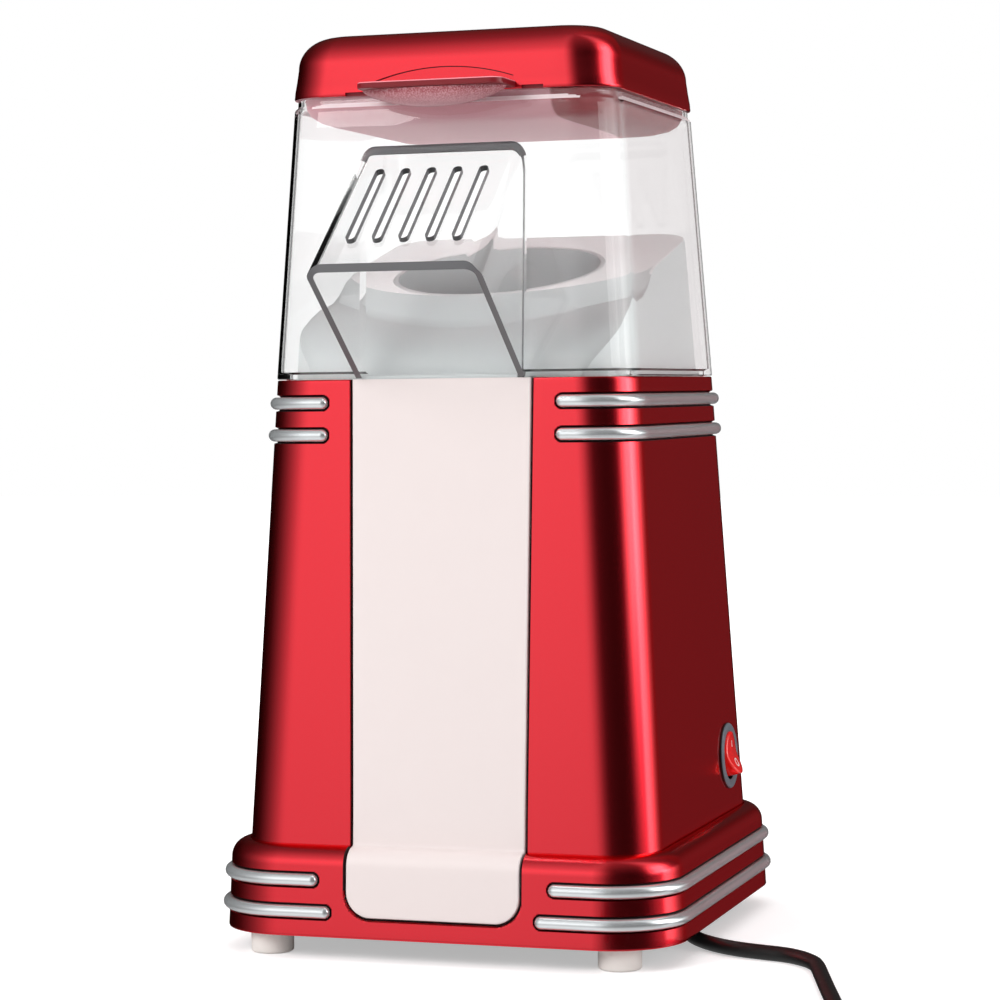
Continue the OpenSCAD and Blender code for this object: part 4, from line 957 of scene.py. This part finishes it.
# Painted highlight: the small step under the cap is coloured near white all round
step_highlight = grained("painted_highlight_step", "#FBEDEF", 0.3, size=3, depth=0.01, span=(0.25, 0.4),
                 IOR=1.58, Transmission_Weight=0.3)
cover.data.materials.append(step_highlight)
where, way_out = facing(cover.data)
x, y, z = where.T
in_doorway = (np.abs(x) < hood_half - hood_wall + 0.1) & (y < -50) & (y > -66) & (z > 192.2) & (z < 272)
in_doorway &= (np.abs(way_out[:, 1]) < 0.55) & (way_out[:, 0] < 0.5)
on_step = (z > 282.7) & (z < 284) & (np.maximum(np.abs(x), np.abs(y)) > neck_half - 0.05)
set_finishes(cover.data, np.where(on_step, 2, in_doorway))


# ---- Chute hood ----
# The sloped hood moulded on the front of the cover: 2 mm walls, two side cheeks cut off square to
# the mouth, and five vent slots down its top.
hood_low = float((hood_foot - hood_rear_top) @ under)
steps = np.append(np.linspace(0, 0.99, 12), 1)[:, None, None]
hood_layers, stand_off = [], (0.05, 0)
for inset in (0, hood_wall):
    x, deep = hood_section(inset, hood_low)
    # The top's front edge is cut upright, and the cheeks from the foot to under it
    mouth = hood_row(x, deep, hood_foot, hood_tip_under)
    upright_cut = hood_row(x, deep, hood_tip - (0, 10), hood_tip)
    mouth = np.where((mouth[:, 1] < upright_cut[:, 1])[:, None], upright_cut, mouth)
    rear = hood_row(x, deep, rear_foot + stand_off, hood_rear_top + stand_off)
    hood_layers.append(mouth + steps * (rear - mouth))
hood_mesh = slab("chute_hood_shell", *hood_layers)
slot_long, slot_wide, slot_start, slot_pitch = 38.8, 3.2, 13.4, 9
a = np.radians(np.arange(0, 360, 15))
stadium_x = slot_wide / 2 * np.cos(a)
upper_end = np.sign(np.sin(a) + 1e-9)
stadium_s = slot_start + slot_long / 2 + upper_end * (slot_long - slot_wide) / 2 + slot_wide / 2 * np.sin(a)
slots = []
for k in range(5):
    rows = []
    for w in (-4, 4):
        spot = hood_rear_top + stadium_s[:, None] * downhill - w * under
        rows.append(np.stack([stadium_x + (k - 2) * slot_pitch, -spot[:, 0], spot[:, 1]], 1))
    slots.append(skin("slot", np.stack(rows)[:, ::-1], ends=True))
hood_shell = carved(hood_mesh, slots)
hood_clear = clear_moulding("clear_polycarbonate_hood", [(0, 0.985), (0.8, 0.97), (0.92, 0.85), (1, 0.7)])
hood = new_piece(hood_shell, hood_clear, "cover")
# Painted shade: the square-cut faces of the mouth and the slots get the same grey
hood_shell.materials.append(grey_cut_shade)
where, way_out = facing(hood_shell)
ahead = np.array([0, -downhill[0], downhill[1]])
down = np.array([0, -under[0], under[1]])
mouth_line = hood_tip_under - hood_foot
mouth_out = np.array([0, -mouth_line[1], -mouth_line[0]]) / np.linalg.norm(mouth_line)
at_mouth = ((where - (0, -hood_foot[0], hood_foot[1])) @ mouth_out > -1.2) & (way_out @ mouth_out > 0.6)
at_mouth |= (where[:, 1] < 0.3 - hood_tip[0]) & (way_out[:, 1] < -0.6)
in_slot = (np.abs(way_out @ down) < 0.3) & (np.abs(where[:, 0]) < 24)
in_slot &= where @ ahead < ahead @ (0, -hood_tip[0], hood_tip[1]) - 8
in_slot &= (where - (0, -hood_rear_top[0], hood_rear_top[1])) @ ahead > 6
# Painted shade: the slots' round ends are coloured darker still
slot_end_shade = grained("painted_shade_slot_ends", "#2E2E30", 0.35, size=0.8, depth=0.01, span=(0.3, 0.45),
                  IOR=1.5)
hood_shell.materials.append(slot_end_shade)
at_end = in_slot & (np.abs(way_out[:, 0]) < 0.9)
# A witness line shows where the hood's top meets the cover
at_mouth |= (where[:, 1] > -cover_side(where[:, 2]) - 0.6) & (where[:, 2] > 264)
set_finishes(hood_shell, np.where(at_end, 2, at_mouth | in_slot))
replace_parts(hood, "chute_hood")


# ---- Cap ----
# A deep cup that closes the neck and measures the corn: red lacquered ABS with a rolled rim, a plug
# that fits the neck, and a flat tab in front with a frosted finger grip under it.
cap_front, cap_shoulder, cap_round = 56.6, 296.7, 11
cap_line = [(36, 277.4), (42, 277.6), (47, 278.1), (50.5, 279.3), (52.9, 281.2), (54, 283.4), (54.3, 285.4),
            (54.35, 286.1), (54.6, 286.3), (57.2, 286.3), (57.65, 286.4), (57.78, 286.8)]
cap_line += [(float(np.interp(z, [286.3, 289, 292.5, cap_shoulder], [57.8, 57.6, 57.1, cap_front])), z)
             for z in (287.5, 289, 290.2, 291.3, 292.5, 294, 295.4)]
cap_line += [(cap_front - cap_round * (1 - math.cos(a)), cap_shoulder + cap_round * math.sin(a))
             for a in np.radians(np.arange(0, 91, 5))]
cap_line += [(45.15, 307.6), (45.05, 307.3), (45.4, 307.0), (47.1, 306), (48.6, 304.8), (49.9, 303),
             (51, 301), (51.6, 298.8), (52, 296), (51.95, 291), (51.8, 287.5), (51, 284.4), (49, 282),
             (45.5, 280.4), (40.5, 279.8)]
cap_half, cap_z = np.array(cap_line).T
last = int(np.argmax(cap_z))
cap_corner = np.where(np.arange(len(cap_line)) < 9, 12.7, 15.3)
cap_corner[10:last + 1] = 15.3 - np.clip(cap_front - cap_half[10:last + 1], 0, None) / 2
cap_corner[last + 1:last + 3] = (9.6, 9.8)
cap_corner[last + 3:] = 11.3
cap_flat = (cap_half - cap_corner)[:, None]
points, _ = plan(cap_half, cap_corner, cap_flat * np.linspace(-1, 1, 15), arc=24)
cap_mesh = skin("cap_cup", np.dstack([points, cap_z[:, None] + 0 * points[..., 0]]), ends=True)
# The thumb's arch over the tab, a shallow recess under an arc of 76 mm radius, a fine groove along
# it inside the recess, and the notches beside the tab
arch_r, arch_mid, arch_foot, arch_half = 76, 218.8, 289.15, 25
line_out, line_in = 76.1, 75.8
notch_x, notch_half, notch_z = 30.9, 3.7, (286.0, 287.5)
recess_y, line_y, notch_y = (-56.45, -60), (-56.1, -60), (-60, -cap_front)


def front_cut(name, x, z, ys):
    """A closed prism on an outline seen from the front, between two places along y."""
    rows = np.stack([np.stack([x, np.full(len(x), y), z], 1) for y in ys])
    return skin(name, rows[:, ::-1], ends=True)


arch = np.radians(np.linspace(-18.6, 18.6, 41))
cap_cuts = [front_cut("arch", np.append(arch_r * np.sin(arch), [arch_half, -arch_half]),
                      np.append(arch_mid + arch_r * np.cos(arch), [arch_foot, arch_foot]), recess_y)]
line_x, line_z = (np.concatenate([line_out * f(arch), (line_in * f(arch))[::-1]]) for f in (np.sin, np.cos))
cap_cuts.append(front_cut("line", line_x, arch_mid + line_z, line_y))
for x in (-notch_x, notch_x):
    notch = x + notch_half * np.array([-1, 1, 1, -1])
    cap_cuts.append(front_cut("notch", notch, np.repeat(notch_z, 2), notch_y))
cap_shell = carved(cap_mesh, cap_cuts)
cap = new_piece(cap_shell, red_lacquer, "cap")
# The underside and the plug aren't sprayed: bare rose ABS, with painted shade that turns it deep red on the
# right
rose, shade_red, shade_start = "#B98088", "#7A121C", (35.5 * mm, 36.5 * mm)
rose_abs_shaded, tree, shader, place = finish("bare_rose_abs_painted_shade", rose, 0.5)
grain(tree, shader, place, 1.5, 0.02, (0.45, 0.6))
side = add(tree, "ShaderNodeSeparateXYZ", {"Vector": place}).outputs["X"]
toward_right_shade = add(tree, "ShaderNodeMapRange", {0: side, 1: shade_start[0], 2: shade_start[1]})
right_shade_mix = add(tree, "ShaderNodeMix", {0: toward_right_shade.outputs[0], 6: linear(rose), 7: linear(shade_red)},
            data_type="RGBA")
tree.links.new(right_shade_mix.outputs[2], shader.inputs["Base Color"])
cap_shell.materials.append(rose_abs_shaded)
where, way_out = facing(cap_shell)
away = (where[:, :2] * way_out[:, :2]).sum(1) / np.linalg.norm(where[:, :2], axis=1).clip(1)
x, y, z = where.T
rim_z = 286.35
second_finish_faces = (z < rim_z) & (np.maximum(np.abs(x), np.abs(y)) < 57.3) & ((away > 0.2) | (way_out[:, 2] < -0.3))
# Painted shade: the fine line and the notches are a deep red
painted_shade_red = grained("painted_shade_red_abs", shade_red, 0.4, size=0.8, depth=0.01, span=(0.32, 0.48))
cap_shell.materials.append(painted_shade_red)
shaded_cuts = (np.abs(way_out[:, 1]) > 0.9) & (np.abs(y - line_y[0]) < 0.02) & (z > 287.6) & (z < 295.1)
shaded_cuts |= (np.abs(np.abs(x) - notch_x) < 3.8) & (z < 287.6) & (np.abs(y + cap_front) < 0.05)
set_finishes(cap_shell, np.where(shaded_cuts, 2, second_finish_faces))

tab_loop = [(0.9, 286.7), (0.25, 286.85), (0, 287.2), (0, 288.6), (0.25, 288.95), (0.9, 289.1)]
tab_half, tab_r, tab_end, tab_front = 10.4, 4, 25.1, 74.6
tab_in, tab_z = np.array(tab_loop).T
points, _ = plan(tab_half - tab_in, tab_r - tab_in, (tab_half - tab_r) * np.linspace(-1, 1, 9)[None], arc=10)
# A rounded square, drawn out sideways to the tab's length
x, y = points[..., 0], points[..., 1]
x, y = x + np.sign(x) * (tab_end - tab_half), y - tab_front + tab_half
tab = new_piece(skin("cap_tab", np.dstack([x, y, tab_z[:, None] + 0 * x]), ends=True), red_lacquer,
                "cap")
# Painted shade and highlight: its front and sides are deep red, and its upper rounded edge is pale
edge_highlight = grained("painted_highlight_edge", "#F08C96", 0.35, size=0.8, depth=0.01, span=(0.3, 0.42))
tab.data.materials.append(painted_shade_red)
tab.data.materials.append(edge_highlight)
_, way_out = facing(tab.data)
set_finishes(tab.data, np.select([way_out[:, 2] > 0.95, way_out[:, 2] > 0.1], [0, 2], 1))
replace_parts(cap, "top_cap")
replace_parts(tab, "top_cap")

along = np.linspace(-1, 1, 49)[:, None]
round_half = np.linspace(0, math.pi, 25)[None]
keel = np.sqrt(np.clip(1 - along ** 2, 0, 1))
grip_half, grip_y, grip_top = 25, -66.6, 286.65
grip_grid = np.dstack([grip_half * along + 0 * round_half,
                       grip_y + (0.4 + 6.9 * keel) * np.cos(round_half),
                       grip_top - (0.05 + 5.9 * keel ** 1.5) * np.sin(round_half)])
frosted, tree, shader, place = finish("frosted_pink_polycarbonate", "#D8A0A8", 0.5, IOR=1.5,
                                      Transmission_Weight=0.15)
# Painted reflection: the red of the tab is painted into its upper half; the frosting is a fine pale speckle
frosting = grain(tree, shader, place, 0.45, 0.08, (0.35, 0.6))
height = add(tree, "ShaderNodeSeparateXYZ", {0: place}).outputs["Z"]
tint_top, tint_low = 0.2858, 0.2808
downward = add(tree, "ShaderNodeMapRange", {0: height, 1: tint_top, 2: tint_low, 3: 0.0, 4: 1.0})
painted_tab_red = add(tree, "ShaderNodeMix", {0: downward.outputs[0], 6: linear("#A23A46"), 7: linear("#D8A0A8")},
             data_type="RGBA")
speckle = add(tree, "ShaderNodeMapRange", {0: frosting.outputs[0], 1: 0.42, 2: 0.62, 3: 0.0, 4: 0.55})
speckled = add(tree, "ShaderNodeMix", {0: speckle.outputs[0], 6: painted_tab_red.outputs[2], 7: linear("#EBBCC2")},
               data_type="RGBA")
# Seen aslant, its skin takes up more of the colour
aslant = add(tree, "ShaderNodeLayerWeight", {"Blend": 0.5}).outputs["Facing"]
taken_up = add(tree, "ShaderNodeValToRGB", {"Fac": aslant}, stops=[(0, 0), (0.72, 0), (0.9, 0.8), (1, 0.9)])
rimmed = add(tree, "ShaderNodeMix",
             {0: taken_up.outputs["Color"], 6: speckled.outputs[2], 7: linear("#A8323E")}, data_type="RGBA")
tree.links.new(rimmed.outputs[2], shader.inputs["Base Color"])
grip = new_piece(skin("tab_grip_hull", grip_grid, ends=True), frosted, "cap")
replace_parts(grip, "tab_grip")


# ---- Bottom plate and feet ----
# A plate of black ABS with a sparked texture closes the base, and lets the air in through its grille.
# The four feet are soft white PVC.
sparked = grained("sparked_black_abs", "#1B1B1C", 0.55, size=0.7, depth=0.04, span=(0.48, 0.64),
                  IOR=1.54)
dress(sparked, "bottom_plate")
soft_white = grained("soft_white_pvc", "#EDE8E3", 0.55, size=1.0, depth=0.015, span=(0.48, 0.62),
                     IOR=1.52)
dress(soft_white, "feet")
